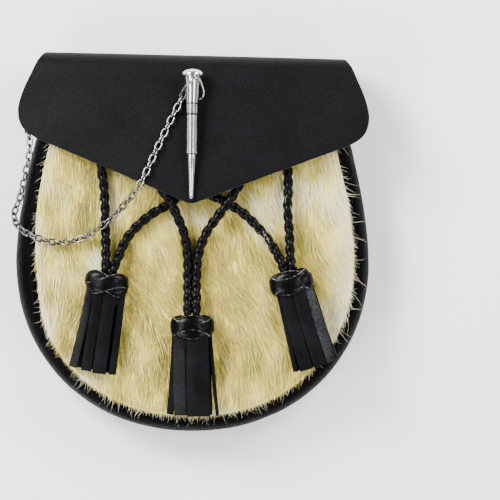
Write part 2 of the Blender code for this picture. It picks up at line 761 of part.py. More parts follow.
def link_mesh(bm, middle, along, across):
    """Adds one link: rings of wire around its polygon."""
    path = link_points(middle, along, across)
    square = along.cross(across).normalized()
    rings = []
    for index, point in enumerate(path):
        ahead = (path[(index + 1) % len(path)] - path[index - 1]).normalized()
        out = ahead.cross(square)
        ring = []
        for side in range(LINK_SIDES):
            angle = 2 * pi * side / LINK_SIDES + pi       # an edge of the wire faces the next link
            place = point + (out * cos(angle) + square * sin(angle)) * (LINK_WIRE / 2)
            ring.append(bm.verts.new(place * MM))
        rings.append(ring)
    for ring, following in zip(rings, rings[1:] + rings[:1]):
        for side in range(LINK_SIDES):
            other = (side + 1) % LINK_SIDES
            bm.faces.new((ring[side], ring[other], following[other], following[side]))


def build_chain(parts, cutters, wire):
    """Every second link fused to its neighbours: odd and even links never touch their own kind."""
    pitch = LINK_LENGTH - 2 * LINK_WIRE + LINK_OVERLAP
    path = resample(smooth_curve(CHAIN_ROUTE), pitch)
    last = len(path) - 2
    twist = LINK_LAST_ROLL - LINK_ROLL - 90.0 * (last % 2)
    meshes = [bmesh.new(), bmesh.new()]
    for index in range(len(path) - 1):
        start, end = Vector(path[index]), Vector(path[index + 1])
        along = (end - start).normalized()
        level = Vector((0, 0, 1)).cross(along).normalized()
        rise = along.cross(level)
        roll = radians(LINK_ROLL + 90.0 * (index % 2) + twist * (index / last) ** LINK_TWIST_POWER)
        across = level * cos(roll) + rise * sin(roll)
        link_mesh(meshes[index % 2], (start + end) / 2, along, across)
    objects = []
    for name, bm, collection in zip(("chain", "chain_even_links"), meshes, (parts, cutters)):
        bmesh.ops.recalc_face_normals(bm, faces=bm.faces)
        mesh = bpy.data.meshes.new(name)
        bm.to_mesh(mesh)
        bm.free()
        mesh.materials.append(wire)
        obj = bpy.data.objects.new(name, mesh)
        collection.objects.link(obj)
        objects.append(obj)
    hide_cutter(objects[1])
    boolean(objects[0], objects[1], "UNION")
    return as_mesh(objects[0], weld=0.002)


# ---- tassels ---------------------------------------------------------------------------------------
def tassel_frame(place):
    """A matrix whose -Y runs down the tassel and whose origin is the knot's middle, in millimetres."""
    return (Matrix.Translation((place.x, place.y, place.z))
            @ Matrix.Rotation(radians(place.lean), 4, "Z"))


def build_knot(place, parts, leather):
    frame = tassel_frame(place)
    points, faces = [], []
    for ring in KNOT_PROFILE:
        for side in range(KNOT_SIDES):
            angle = 2 * pi * side / KNOT_SIDES
            local = Vector((ring.radius * cos(angle), ring.along, ring.radius * KNOT_FLAT * sin(angle)))
            points.append(frame @ local)
    for ring in range(len(KNOT_PROFILE) - 1):
        for side in range(KNOT_SIDES):
            a = ring * KNOT_SIDES + side
            b = ring * KNOT_SIDES + (side + 1) % KNOT_SIDES
            faces.append((a, b, b + KNOT_SIDES, a + KNOT_SIDES))
    last = (len(KNOT_PROFILE) - 1) * KNOT_SIDES
    faces.append(tuple(range(KNOT_SIDES)))
    faces.append(tuple(last + side for side in range(KNOT_SIDES)))
    knot = mesh_object("knot_" + place.side, points, faces, parts, leather)
    point_outwards(knot)
    smooth(knot)
    return knot


def strip_object(name, place, row, collection):
    """One leather strip: a thin bar that bends down as it runs out."""
    frame = tassel_frame(place)
    top = KNOT_PROFILE[0].along - GAP - HEAD_LENGTH + STRIP_SINK
    bottom = KNOT_PROFILE[0].along - row.length
    points, faces = [], []
    for station in range(STRIP_STATIONS):
        share = station / (STRIP_STATIONS - 1)
        y = top + (bottom - top) * share
        x = row.across + row.splay * share ** STRIP_SPLAY
        z = row.lift + (place.rest + row.layer - place.z - row.lift) * share ** STRIP_FALL
        for side_x, side_z in ((-1, -1), (1, -1), (1, 1), (-1, 1)):
            local = Vector((x + side_x * row.width / 2, y, z + side_z * STRIP_THICKNESS / 2))
            points.append(frame @ local)
    for station in range(STRIP_STATIONS - 1):
        for side in range(4):
            a, b = station * 4 + side, station * 4 + (side + 1) % 4
            faces.append((a, b, b + 4, a + 4))
    faces.append((0, 1, 2, 3))
    faces.append(tuple((STRIP_STATIONS - 1) * 4 + i for i in range(4)))
    strip = mesh_object(name, points, faces, collection)
    point_outwards(strip)
    return strip


def build_tassel(place, parts, cutters, leather):
    """A flat oval head with strips on both its faces, fused."""
    frame = tassel_frame(place)
    high = KNOT_PROFILE[0].along - GAP
    points, faces = [], []
    for y, share in ((high, HEAD_EDGE_SHARE), (high - HEAD_EDGE, 1.0), (high - HEAD_LENGTH, 1.0)):
        for side in range(HEAD_SIDES):
            angle = 2 * pi * side / HEAD_SIDES
            points.append(frame @ Vector((HEAD_HALF_WIDTH * share * cos(angle), y,
                                          HEAD_HALF_DEPTH * share * sin(angle))))
    for ring in range(2):
        for side in range(HEAD_SIDES):
            a, b = ring * HEAD_SIDES + side, ring * HEAD_SIDES + (side + 1) % HEAD_SIDES
            faces.append((a, b, b + HEAD_SIDES, a + HEAD_SIDES))
    faces.append(tuple(range(HEAD_SIDES)))
    faces.append(tuple(2 * HEAD_SIDES + side for side in range(HEAD_SIDES)))
    tassel = mesh_object("tassel_" + place.side, points, faces, parts, leather)
    point_outwards(tassel)
    for number, row in enumerate(STRIP_ROWS, 1):
        strip = strip_object(f"strip_{place.side}_{number}", place, row, cutters)
        hide_cutter(strip)
        boolean(tassel, strip, "UNION")
    return as_mesh(tassel, weld=0.02)


# ---- hangers ---------------------------------------------------------------------------------------
def hanger_frame(side):
    """A matrix whose X runs out of the gusset and Y along it, in millimetres."""
    step = 0.5
    x = body_half_width(HANGER_Y)
    slope = (body_half_width(HANGER_Y + step) - body_half_width(HANGER_Y - step)) / (2 * step)
    lean = atan2(-slope, 1.0)
    frame = Matrix.Translation((x, HANGER_Y, HANGER_Z)) @ Matrix.Rotation(lean, 4, "Z")
    return Matrix.Scale(-1, 4, (1, 0, 0)) @ frame if side == "left" else frame


def build_tab(side, parts, leather):
    """A folded strap: a flat tail that ends in a loop round the ring's bar."""
    neck = asin(TAB_HALF_THICKNESS / TAB_LOOP_RADIUS)
    loop = [pi - neck - 2 * (pi - neck) * i / (TAB_LOOP_POINTS - 1) for i in range(TAB_LOOP_POINTS)]
    outline = [(GAP, -TAB_HALF_THICKNESS), (GAP, TAB_HALF_THICKNESS)]
    outline += [(TAB_TAIL + TAB_LOOP_RADIUS * cos(a), TAB_LOOP_RADIUS * sin(a)) for a in loop]
    turns = [2 * pi * i / TAB_BORE_POINTS for i in range(TAB_BORE_POINTS)]
    bore = [(TAB_TAIL + TAB_BORE * cos(turn), TAB_BORE * sin(turn)) for turn in turns]
    frame = hanger_frame(side)
    curve = bpy.data.curves.new("tab_" + side, "CURVE")
    curve.dimensions = "2D"
    curve.fill_mode = "BOTH"
    curve.extrude = TAB_WIDTH / 2 * MM
    for ring in (outline, bore):
        spline = curve.splines.new("POLY")
        spline.points.add(len(ring) - 1)
        for point, (x, z) in zip(spline.points, ring):
            point.co = (x * MM, z * MM, 0.0, 1.0)
        spline.use_cyclic_u = True
    tab = bpy.data.objects.new("tab_" + side, curve)
    parts.objects.link(tab)
    bpy.context.view_layer.update()
    tab = as_mesh(tab, weld=0.01)
    upright = Matrix.Rotation(radians(90.0), 4, "X")
    place = Matrix.Translation(frame.translation * MM) @ frame.to_3x3().to_4x4() @ upright
    tab.data.transform(place)
    point_outwards(tab)
    tab.data.materials.append(leather)
    return tab


def build_hanger_ring(side, parts, wire):
    """A D: a straight bar in the tab and a bow outside it."""
    frame = hanger_frame(side)
    half = RING_BAR / 2
    points = [(TAB_TAIL, -half + RING_CORNER), (TAB_TAIL, half - RING_CORNER)]
    points.append((TAB_TAIL + RING_CORNER_CUT, half - RING_CORNER_CUT))
    for i in range(RING_ARC_POINTS):
        angle = radians(90.0) - pi * i / (RING_ARC_POINTS - 1)
        points.append((TAB_TAIL + RING_CORNER + (RING_DEPTH - RING_CORNER) * cos(angle), half * sin(angle)))
    points.append((TAB_TAIL + RING_CORNER_CUT, -half + RING_CORNER_CUT))
    placed = [tuple(frame @ Vector((x, y, 0.0))) for x, y in points]
    return tube("ring_" + side, placed, RING_WIRE / 2, 1, parts, wire, closed=True)


# ---- the pouch -------------------------------------------------------------------------------------
def build():
    clear_scene()
    parts = make_collection("sporran_pouch")
    cutters = make_collection("cutters")
    smooth_leather = make_material("smooth_leather", (0.016, 0.017, 0.019), 0.62)
    pebble_leather = make_material("pebble_leather", (0.018, 0.018, 0.020), 0.5)
    glossy_leather = make_material("glossy_leather", (0.010, 0.010, 0.011), 0.3)
    fur = make_material("fur", (0.72, 0.64, 0.42), 0.9)
    steel = make_material("bright_steel", (0.78, 0.78, 0.79), 0.15, 1.0)
    nickel = make_material("nickel_wire", (0.66, 0.63, 0.58), 0.28, 1.0)

    build_back_panel(parts, smooth_leather)
    build_gusset(parts, pebble_leather)
    build_fur_front(parts, cutters, fur)
    build_flap(parts, smooth_leather)
    build_pin(parts, steel)
    build_pin_post(parts, steel)
    build_pin_ring(parts, nickel)
    build_chain(parts, cutters, nickel)
    routes = {"left": CORD_LEFT_ROUTE, "middle": CORD_MIDDLE_ROUTE, "right": CORD_RIGHT_ROUTE}
    for side, route in routes.items():
        tube("cord_" + side, cord_path(route), CORD / 2, CORD_RESOLUTION, parts, glossy_leather)
    for place in TASSELS:
        build_knot(place, parts, glossy_leather)
        build_tassel(place, parts, cutters, smooth_leather)
    for side in ("left", "right"):
        build_tab(side, parts, smooth_leather)
        build_hanger_ring(side, parts, nickel)


build()
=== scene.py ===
"""A sporran pouch, dressed over its fixed solids.

The pouch lies on its back on a pale floor. +X is its right as seen from the front, +Y points to its folded
top edge and +Z comes out of its front. Sizes are in millimetres, and become metres when a mesh is made.
"""

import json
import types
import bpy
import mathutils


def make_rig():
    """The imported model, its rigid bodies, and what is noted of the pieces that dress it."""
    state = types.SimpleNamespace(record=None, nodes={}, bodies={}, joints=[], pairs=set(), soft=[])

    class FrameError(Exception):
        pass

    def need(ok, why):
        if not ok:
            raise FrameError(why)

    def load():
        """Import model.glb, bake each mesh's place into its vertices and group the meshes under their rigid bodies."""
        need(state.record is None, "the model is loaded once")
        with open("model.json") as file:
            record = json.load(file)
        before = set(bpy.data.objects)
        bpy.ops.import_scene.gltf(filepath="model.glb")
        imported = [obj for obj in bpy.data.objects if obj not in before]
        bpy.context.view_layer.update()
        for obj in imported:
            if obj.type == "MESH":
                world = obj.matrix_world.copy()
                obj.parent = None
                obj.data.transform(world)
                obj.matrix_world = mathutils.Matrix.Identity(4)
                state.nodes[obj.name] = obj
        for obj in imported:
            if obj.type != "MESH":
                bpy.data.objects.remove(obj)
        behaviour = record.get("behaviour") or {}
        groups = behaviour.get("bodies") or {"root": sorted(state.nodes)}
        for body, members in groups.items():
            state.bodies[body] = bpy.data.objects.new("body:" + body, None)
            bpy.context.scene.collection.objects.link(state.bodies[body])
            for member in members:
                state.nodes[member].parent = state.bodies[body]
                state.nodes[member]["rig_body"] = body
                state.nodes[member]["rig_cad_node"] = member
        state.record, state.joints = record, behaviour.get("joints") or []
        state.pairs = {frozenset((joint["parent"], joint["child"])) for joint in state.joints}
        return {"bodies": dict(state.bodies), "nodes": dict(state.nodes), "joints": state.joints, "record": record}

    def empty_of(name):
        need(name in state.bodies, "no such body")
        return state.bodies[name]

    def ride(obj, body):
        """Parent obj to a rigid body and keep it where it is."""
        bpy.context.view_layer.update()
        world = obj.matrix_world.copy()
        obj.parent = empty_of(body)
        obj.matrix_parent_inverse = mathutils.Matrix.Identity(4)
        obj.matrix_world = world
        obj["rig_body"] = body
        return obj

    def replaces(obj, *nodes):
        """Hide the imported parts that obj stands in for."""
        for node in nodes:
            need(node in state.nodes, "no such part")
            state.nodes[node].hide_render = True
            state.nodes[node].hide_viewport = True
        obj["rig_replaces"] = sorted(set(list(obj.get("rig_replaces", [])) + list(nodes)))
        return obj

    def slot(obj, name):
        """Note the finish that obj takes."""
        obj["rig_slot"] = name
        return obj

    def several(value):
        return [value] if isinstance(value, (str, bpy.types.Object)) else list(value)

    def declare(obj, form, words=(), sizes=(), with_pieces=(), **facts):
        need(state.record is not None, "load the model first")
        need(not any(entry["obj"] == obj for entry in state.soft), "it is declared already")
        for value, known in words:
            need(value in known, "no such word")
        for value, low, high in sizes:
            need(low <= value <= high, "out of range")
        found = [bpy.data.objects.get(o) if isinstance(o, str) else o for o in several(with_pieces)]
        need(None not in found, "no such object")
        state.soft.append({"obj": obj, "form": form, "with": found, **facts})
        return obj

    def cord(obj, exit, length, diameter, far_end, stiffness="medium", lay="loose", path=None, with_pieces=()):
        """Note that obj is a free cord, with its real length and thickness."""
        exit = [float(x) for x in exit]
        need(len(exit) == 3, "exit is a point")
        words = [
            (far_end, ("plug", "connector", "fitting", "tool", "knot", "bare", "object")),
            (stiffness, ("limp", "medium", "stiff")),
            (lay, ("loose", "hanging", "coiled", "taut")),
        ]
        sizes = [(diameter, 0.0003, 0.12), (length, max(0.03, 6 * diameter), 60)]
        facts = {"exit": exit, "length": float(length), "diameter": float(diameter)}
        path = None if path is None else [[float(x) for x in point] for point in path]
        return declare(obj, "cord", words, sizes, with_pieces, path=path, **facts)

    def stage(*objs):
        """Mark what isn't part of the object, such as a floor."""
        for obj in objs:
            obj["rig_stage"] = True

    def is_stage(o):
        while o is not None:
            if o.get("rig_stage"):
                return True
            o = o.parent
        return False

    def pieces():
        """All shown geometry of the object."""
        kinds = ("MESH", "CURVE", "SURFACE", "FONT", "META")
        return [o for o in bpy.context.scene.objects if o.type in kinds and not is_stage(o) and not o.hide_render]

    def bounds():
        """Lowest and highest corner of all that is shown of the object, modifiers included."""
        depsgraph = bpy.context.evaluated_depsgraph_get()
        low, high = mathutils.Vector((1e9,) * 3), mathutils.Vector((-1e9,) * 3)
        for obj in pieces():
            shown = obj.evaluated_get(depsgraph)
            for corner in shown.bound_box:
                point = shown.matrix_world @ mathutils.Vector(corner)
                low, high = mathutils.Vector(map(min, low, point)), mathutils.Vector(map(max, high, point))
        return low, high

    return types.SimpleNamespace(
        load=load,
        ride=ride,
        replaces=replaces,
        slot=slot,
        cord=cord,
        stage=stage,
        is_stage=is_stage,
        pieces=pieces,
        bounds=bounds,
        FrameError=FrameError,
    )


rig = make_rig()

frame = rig.load()
CAD_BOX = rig.bounds()

import json
import logging
from dataclasses import dataclass
from enum import Enum
from math import asin, atan2, cos, pi, radians, sin
from typing import Any, Iterable, NamedTuple, Sequence

import bmesh
import bpy
import numpy as np
from mathutils import Matrix, Vector

log = logging.getLogger("sporran")

MM = 0.001
GAP = 0.3                           # room left between neighbouring pieces
LEATHER = 2.0                       # thickness of the body's leather
SIZE_FILE = "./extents.json"

Points = np.ndarray
Faces = list[tuple[int, ...]]
Piece = bpy.types.Object
Socket = Any


# ---- small helpers ---------------------------------------------------------------------------------
def linear(colour: str) -> tuple[float, ...]:
    """Linear red, green, blue and alpha of an sRGB hex colour such as "#e8dcb0"."""
    shares = [int(colour[i:i + 2], 16) / 255 for i in (1, 3, 5)]
    return (*(s / 12.92 if s <= 0.04045 else ((s + 0.055) / 1.055) ** 2.4 for s in shares), 1.0)


def add_node(tree: bpy.types.NodeTree, kind: str, inputs: dict[Any, Any] | None = None,
             **settings: Any) -> bpy.types.Node:
    """Adds a node, sets its properties, and links or sets its inputs.

    Args:
        tree: the node tree.
        kind: the node's type name.
        inputs: input name or index to a value, or to an output socket that is linked to it.
        settings: the node's own properties.

    Returns:
        The node.
    """
    node = tree.nodes.new(kind)
    for name, value in settings.items():
        setattr(node, name, value)
    for key, value in (inputs or {}).items():
        if isinstance(value, bpy.types.NodeSocket):
            tree.links.new(value, node.inputs[key])
        else:
            node.inputs[key].default_value = value
    return node


def unit(vectors: Points) -> Points:
    """The same directions with a length of one; the last axis is x, y, z."""
    return vectors / np.maximum(np.linalg.norm(vectors, axis=-1, keepdims=True), 1e-12)


def square_to(vectors: Points, ahead: Points) -> Points:
    """Unit vectors square to the ones ahead, as near as they can be to the given ones."""
    return unit(vectors - ahead * (vectors * ahead).sum(-1, keepdims=True))


def around(path: Points) -> Points:
    """The way ahead at each point of a closed line."""
    return unit(np.roll(path, -1, axis=0) - np.roll(path, 1, axis=0))


def ease(share: Any) -> Any:
    """A smooth step from 0 to 1, for a number or an array."""
    share = np.clip(share, 0.0, 1.0)
    return share * share * (3 - 2 * share)


def bell(away: Any) -> Any:
    """A smooth hill that is 1 in its middle."""
    return np.exp(-away ** 2)


def run_along(points: Points) -> Points:
    """The length of a line up to each of its points."""
    return np.concatenate(([0.0], np.cumsum(np.linalg.norm(np.diff(points, axis=0), axis=1))))


def resample(points: Sequence[Sequence[float]], step: float) -> Points:
    """Evenly spaced points along a line, with both ends kept.

    Args:
        points: the line's points.
        step: the wanted spacing, which is rounded so that it divides the length.

    Returns:
        The new points.
    """
    places = np.array(points, float)
    along = run_along(places)
    wanted = np.linspace(0.0, along[-1], max(2, int(round(along[-1] / step)) + 1))
    return np.stack([np.interp(wanted, along, column) for column in places.T], axis=1)


def smooth_curve(points: Sequence[Sequence[float]], step: float) -> Points:
    """Evenly spaced points on a smooth curve through the given ones.

    Args:
        points: the given points.
        step: the spacing.

    Returns:
        Points on the curve.
    """
    given = np.array(points, float)
    ends = [given[0] * 2 - given[1], *given, given[-1] * 2 - given[-2]]
    dense = []
    for before, start, end, after in zip(ends, ends[1:], ends[2:], ends[3:]):
        dense += [0.5 * (2 * start + (end - before) * t + (2 * before - 5 * start + 4 * end - after) * t ** 2
                         + (3 * start - before - 3 * end + after) * t ** 3) for t in np.arange(16) / 16]
    return resample([*dense, given[-1]], step)


def carried_frames(path: Points, first: Sequence[float]) -> tuple[Points, Points]:
    """Two directions square to a line, carried along it without twisting.

    Args:
        path: the line's points.
        first: the wanted first direction at the line's start.

    Returns:
        The two directions at each point.
    """
    ahead = unit(np.gradient(path, axis=0))
    side = np.array(first, float)
    sides = []
    for direction in ahead:
        side = side - direction * (side @ direction)
        side /= np.linalg.norm(side)
        sides.append(side.copy())
    return np.array(sides), np.cross(ahead, sides)


def mesh_from(name: str, points: Iterable[Sequence[float]], edges: Sequence[Sequence[int]] = (),
              faces: Sequence[Sequence[int]] = (), **stored: Points) -> bpy.types.Mesh:
    """A mesh from points in millimetres, with values stored on the points.

    Args:
        name: the mesh's name.
        points: x, y and z of each point.
        edges: the points of each loose edge.
        faces: the points of each face.
        stored: attribute name to a number or a vector for each point.

    Returns:
        The mesh.
    """
    places = np.array(list(points), float) * MM
    mesh = bpy.data.meshes.new(name)
    mesh.from_pydata(places.tolist(), edges, faces)
    for label, values in stored.items():
        kind, key = ("FLOAT_VECTOR", "vector") if values.size == places.size else ("FLOAT", "value")
        mesh.attributes.new(label, kind, "POINT").data.foreach_set(key, values.astype(np.float32).ravel())
    return mesh


def piece_of(name: str, data: Any) -> Piece:
    """Puts a named mesh, light or camera into the scene, at the origin."""
    obj = bpy.data.objects.new(name, data)
    bpy.context.scene.collection.objects.link(obj)
    return obj


def piece_from(name: str, points: Iterable[Sequence[float]], faces: Sequence[Sequence[int]],
               *finishes: bpy.types.Material, slots: Sequence[int] = ()) -> Piece:
    """A piece from points in millimetres.

    Args:
        name: the piece's name.
        points: x, y and z of each point.
        faces: the points of each face.
        finishes: its materials.
        slots: which of them each face takes, where it isn't always the first.

    Returns:
        The piece.
    """
    mesh = mesh_from(name, points, faces=faces)
    for finish in finishes:
        mesh.materials.append(finish)
    if slots:
        mesh.polygons.foreach_set("material_index", slots)
    return piece_of(name, mesh)


def grid_faces(rows: int, columns: int, wrap_rows: bool = False, wrap_columns: bool = False,
               start: int = 0) -> Faces:
    """Quads of a grid whose points are stored row by row.

    Args:
        rows: number of rows.
        columns: number of columns.
        wrap_rows: join the last row to the first.
        wrap_columns: join the last column to the first.
        start: index of the grid's first point.

    Returns:
        The quads.
    """
    faces = []
    for row in range(rows if wrap_rows else rows - 1):
        here, below = start + row * columns, start + (row + 1) % rows * columns
        for column in range(columns if wrap_columns else columns - 1):
            beside = (column + 1) % columns
            faces.append((here + column, here + beside, below + beside, below + column))
    return faces


def swept(rings: Points, closed: bool = False, start: int = 0) -> tuple[Points, Faces]:
    """A tube through rings of points, with flat ends unless it closes on itself.

    Args:
        rings: an array of rings by points by x, y, z.
        closed: whether the last ring joins the first.
        start: index of the tube's first point.

    Returns:
        The points in one list, and the faces.
    """
    count, sides = rings.shape[:2]
    faces = grid_faces(count, sides, closed, True, start)
    if not closed:
        faces.append(tuple(start + i for i in reversed(range(sides))))
        faces.append(tuple(start + (count - 1) * sides + i for i in range(sides)))
    return rings.reshape(-1, 3), faces


def tube_rings(path: Points, sides: Points, rises: Points, section: Points, scales: Any = 1.0) -> Points:
    """Rings of a section carried along a path.

    Args:
        path: the path's points.
        sides: the section's first axis at each point.
        rises: the section's second axis at each point.
        section: the section's points.
        scales: the section's size at each point, where it changes.

    Returns:
        An array of rings by points by x, y, z.
    """
    across, up = (section[None, :, axis, None] * np.multiply(scales, np.ones(len(path)))[:, None, None]
                  for axis in (0, 1))
    return path[:, None] + sides[:, None] * across + rises[:, None] * up


def circle(radius: float, count: int) -> Points:
    """Points of a circle."""
    turns = np.arange(count) * 2 * pi / count
    return np.stack([radius * np.cos(turns), radius * np.sin(turns)], axis=1)


def placed(matrix: Matrix, points: Iterable[Sequence[float]]) -> list[tuple[float, ...]]:
    """Points moved by a matrix."""
    return [tuple(matrix @ Vector(point)) for point in points]


def finish_shape(obj: Piece, angle: float = 40.0) -> Piece:
    """Points a closed mesh's faces outwards and shades it smooth.

    Args:
        obj: the piece.
        angle: edges sharper than this stay sharp, in degrees.

    Returns:
        The same piece.
    """
    bm = bmesh.new()
    bm.from_mesh(obj.data)
    bmesh.ops.recalc_face_normals(bm, faces=bm.faces)
    bm.to_mesh(obj.data)
    bm.free()
    obj.data.shade_smooth()
    obj.data.set_sharp_from_angle(angle=radians(angle))
    return obj


def plain_mesh(obj: Piece) -> Piece:
    """Replaces a piece with modifiers by its evaluated mesh.

    Args:
        obj: the piece.

    Returns:
        The same piece, without modifiers.
    """
    mesh = bpy.data.meshes.new_from_object(obj.evaluated_get(bpy.context.evaluated_depsgraph_get()))
    obj.modifiers.clear()
    obj.data = mesh
    mesh.name = obj.name
    return obj


def thickened(obj: Piece, thickness: float, offset: float, **settings: Any) -> Piece:
    """Gives a sheet its thickness.

    Args:
        obj: the sheet.
        thickness: the leather's thickness.
        offset: -1 where it grows to the back, 0 to both sides.
        settings: further settings of the modifier.

    Returns:
        The same piece, with the modifier still on it.
    """
    wall = obj.modifiers.new("wall", "SOLIDIFY")
    for name, value in {"thickness": thickness * MM, "offset": offset, **settings}.items():
        setattr(wall, name, value)
    return obj


def rounded(obj: Piece, width: float, angle: float) -> Piece:
    """Rounds a piece's sharp edges.

    Args:
        obj: the piece.
        width: width of the rounding.
        angle: edges sharper than this are rounded, in degrees.

    Returns:
        The same piece, with a plain mesh.
    """
    bevel = obj.modifiers.new("rounded_edge", "BEVEL")
    bevel.width = width * MM
    bevel.segments = 2
    bevel.limit_method = "ANGLE"
    bevel.angle_limit = radians(angle)
    return plain_mesh(obj)


def settle(obj: Piece, slot: str, *nodes: str) -> None:
    """Ties a finished piece to the pouch and reports it.

    Args:
        obj: the piece.
        slot: the record's material slot.
        nodes: the solids that it stands for.
    """
    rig.ride(obj, "root")
    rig.slot(obj, slot)
    if nodes:
        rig.replaces(obj, *nodes)
    log.info("%s: %d faces", obj.name, len(obj.data.polygons))


def bent_wire(name: str, path: Points, out: Points, rise: Points, wire: float, sides: int,
              finish: bpy.types.Material) -> Piece:
    """A ring of round wire along a closed line.

    Args:
        name: the piece's name.
        path: the line's points.
        out: the wire's first axis at each point.
        rise: its second axis.
        wire: its diameter.
        sides: number of its sides.
        finish: its material.

    Returns:
        The piece.
    """
    points, faces = swept(tube_rings(path, out, rise, circle(wire / 2, sides)), closed=True)
    return finish_shape(piece_from(name, points, faces, finish), 180.0)


# ---- node trees ------------------------------------------------------------------------------------
class Value:
    """An output of a Geometry Nodes tree; a sum of values adds the node that works it out."""

    def __init__(self, shape: "NodeShape", socket: Socket) -> None:
        """Wraps a socket of a tree."""
        self.shape, self.socket = shape, socket
        self.is_vector = socket.type == "VECTOR"

    def __add__(self, other: Any) -> "Value":
        """This value and another."""
        return self.shape.sum("ADD", self, other)

    def __sub__(self, other: Any) -> "Value":
        """This value less another."""
        return self.shape.sum("SUBTRACT", self, other)

    def __rsub__(self, other: Any) -> "Value":
        """A number less this value."""
        return self.shape.sum("SUBTRACT", other, self)

    def __mul__(self, other: Any) -> "Value":
        """This value times another; a vector times a number is scaled by it."""
        scaled = self.is_vector and (isinstance(other, float) or getattr(other, "is_vector", None) is False)
        return self.shape.sum("SCALE" if scaled else "MULTIPLY", self, other)

    def __truediv__(self, other: Any) -> "Value":
        """This value over another."""
        return self.shape.sum("DIVIDE", self, other)

    def __pow__(self, power: float) -> "Value":
        """This value to a power."""
        return self.shape.sum("POWER", self, power)

    def beside(self, name: str) -> "Value":
        """Another output of the same node."""
        return Value(self.shape, self.socket.node.outputs[name])


class NodeShape:
    """A Geometry Nodes tree that is built, run once on a mesh, and turned into a plain mesh."""

    def __init__(self, name: str, *sizes: str) -> None:
        """Starts a tree with a geometry input, named size inputs and a finish.

        Args:
            name: the tree's name.
            sizes: the names of its numbers, of which only a Seed is whole.
        """
        self.tree = bpy.data.node_groups.new(name, "GeometryNodeTree")
        face = self.tree.interface
        for way in ("OUTPUT", "INPUT"):
            face.new_socket(name="Geometry", in_out=way, socket_type="NodeSocketGeometry")
        kinds = {"Seed": "NodeSocketInt", "Finish": "NodeSocketMaterial"}
        self.sockets = {label: face.new_socket(name=label, in_out="INPUT",
                                               socket_type=kinds.get(label, "NodeSocketFloat")).identifier
                        for label in (*sizes, "Finish")}
        inputs = add_node(self.tree, "NodeGroupInput").outputs
        self.size = {label: Value(self, inputs[label]) for label in ("Geometry", *self.sockets)}
        self.base = self.size["Geometry"]

    def add(self, kind: str, inputs: dict[Any, Any] | None = None, output: Any = 0, **settings: Any) -> Value:
        """Adds a node.

        Args:
            kind: the node's type name.
            inputs: input name or index to a number, a vector or a value.
            output: name or index of the wanted output.
            settings: the node's own properties.

        Returns:
            The output.
        """
        given = {key: getattr(value, "socket", value) for key, value in (inputs or {}).items()}
        return Value(self, add_node(self.tree, kind, given, **settings).outputs[output])

    def sum(self, operation: str, *values: Any) -> Value:
        """Adds a Math node, or a Vector Math node where a value is a vector.

        Args:
            operation: its kind, such as "MULTIPLY"; SCALE takes the vector and then the factor.
            values: numbers, vectors or values.

        Returns:
            The result.
        """
        vectors = any(getattr(value, "is_vector", False) for value in values)
        keys = (0, "Scale") if operation == "SCALE" else range(len(values))
        return self.add("ShaderNodeVectorMath" if vectors else "ShaderNodeMath", dict(zip(keys, values)),
                        operation=operation)

    def store(self, geometry: Value, name: str, value: Value) -> Value:
        """A geometry with a value stored on its points under a name."""
        kind = "FLOAT_VECTOR" if value.is_vector else "FLOAT"
        return self.add("GeometryNodeStoreNamedAttribute", {
            "Geometry": geometry, "Name": name, "Value": value}, data_type=kind, domain="POINT")

    def named(self, name: str, kind: str = "FLOAT") -> Value:
        """A stored value."""
        return self.add("GeometryNodeInputNamedAttribute", {"Name": name}, data_type=kind)

    def end_at_points(self, piece: Value) -> "NodeShape":
        """Ends the tree in a piece at each of the base's points, turned by what is stored there."""
        points = self.add("GeometryNodeMeshToPoints", {0: self.base})
        turn = self.add("FunctionNodeEulerToRotation", {0: self.named("turn", "FLOAT_VECTOR")})
        return self.end(self.add("GeometryNodeInstanceOnPoints", {
            "Points": points, "Instance": piece, "Rotation": turn}))

    def end(self, geometry: Value) -> "NodeShape":
        """Ends the tree in real, smooth, finished faces.

        Args:
            geometry: what the tree has built.

        Returns:
            The tree, ready to run.
        """
        real = self.add("GeometryNodeRealizeInstances", {0: geometry})
        soft = self.add("GeometryNodeSetShadeSmooth", {"Geometry": real})
        dressed = self.add("GeometryNodeSetMaterial", {"Geometry": soft, "Material": self.size["Finish"]})
        add_node(self.tree, "NodeGroupOutput", {0: dressed.socket})
        return self

    def run(self, name: str, base: bpy.types.Mesh, finish: bpy.types.Material, **sizes: Any) -> Piece:
        """Runs the tree on a mesh.

        Args:
            name: the new piece's name.
            base: the mesh that it starts from.
            finish: its material.
            sizes: the inputs, with underscores for the spaces in their names.

        Returns:
            A piece with a plain mesh.
        """
        obj = piece_of(name, base)
        modifier = obj.modifiers.new(name, "NODES")
        modifier.node_group = self.tree
        for label, value in {**sizes, "Finish": finish}.items():
            modifier[self.sockets[label.replace("_", " ")]] = value
        bpy.context.view_layer.update()
        return plain_mesh(obj)


# ---- finishes --------------------------------------------------------------------------------------
MIX_FIRST, MIX_SECOND, MIX_RESULT = 6, 7, 2     # the Mix node's colour sockets


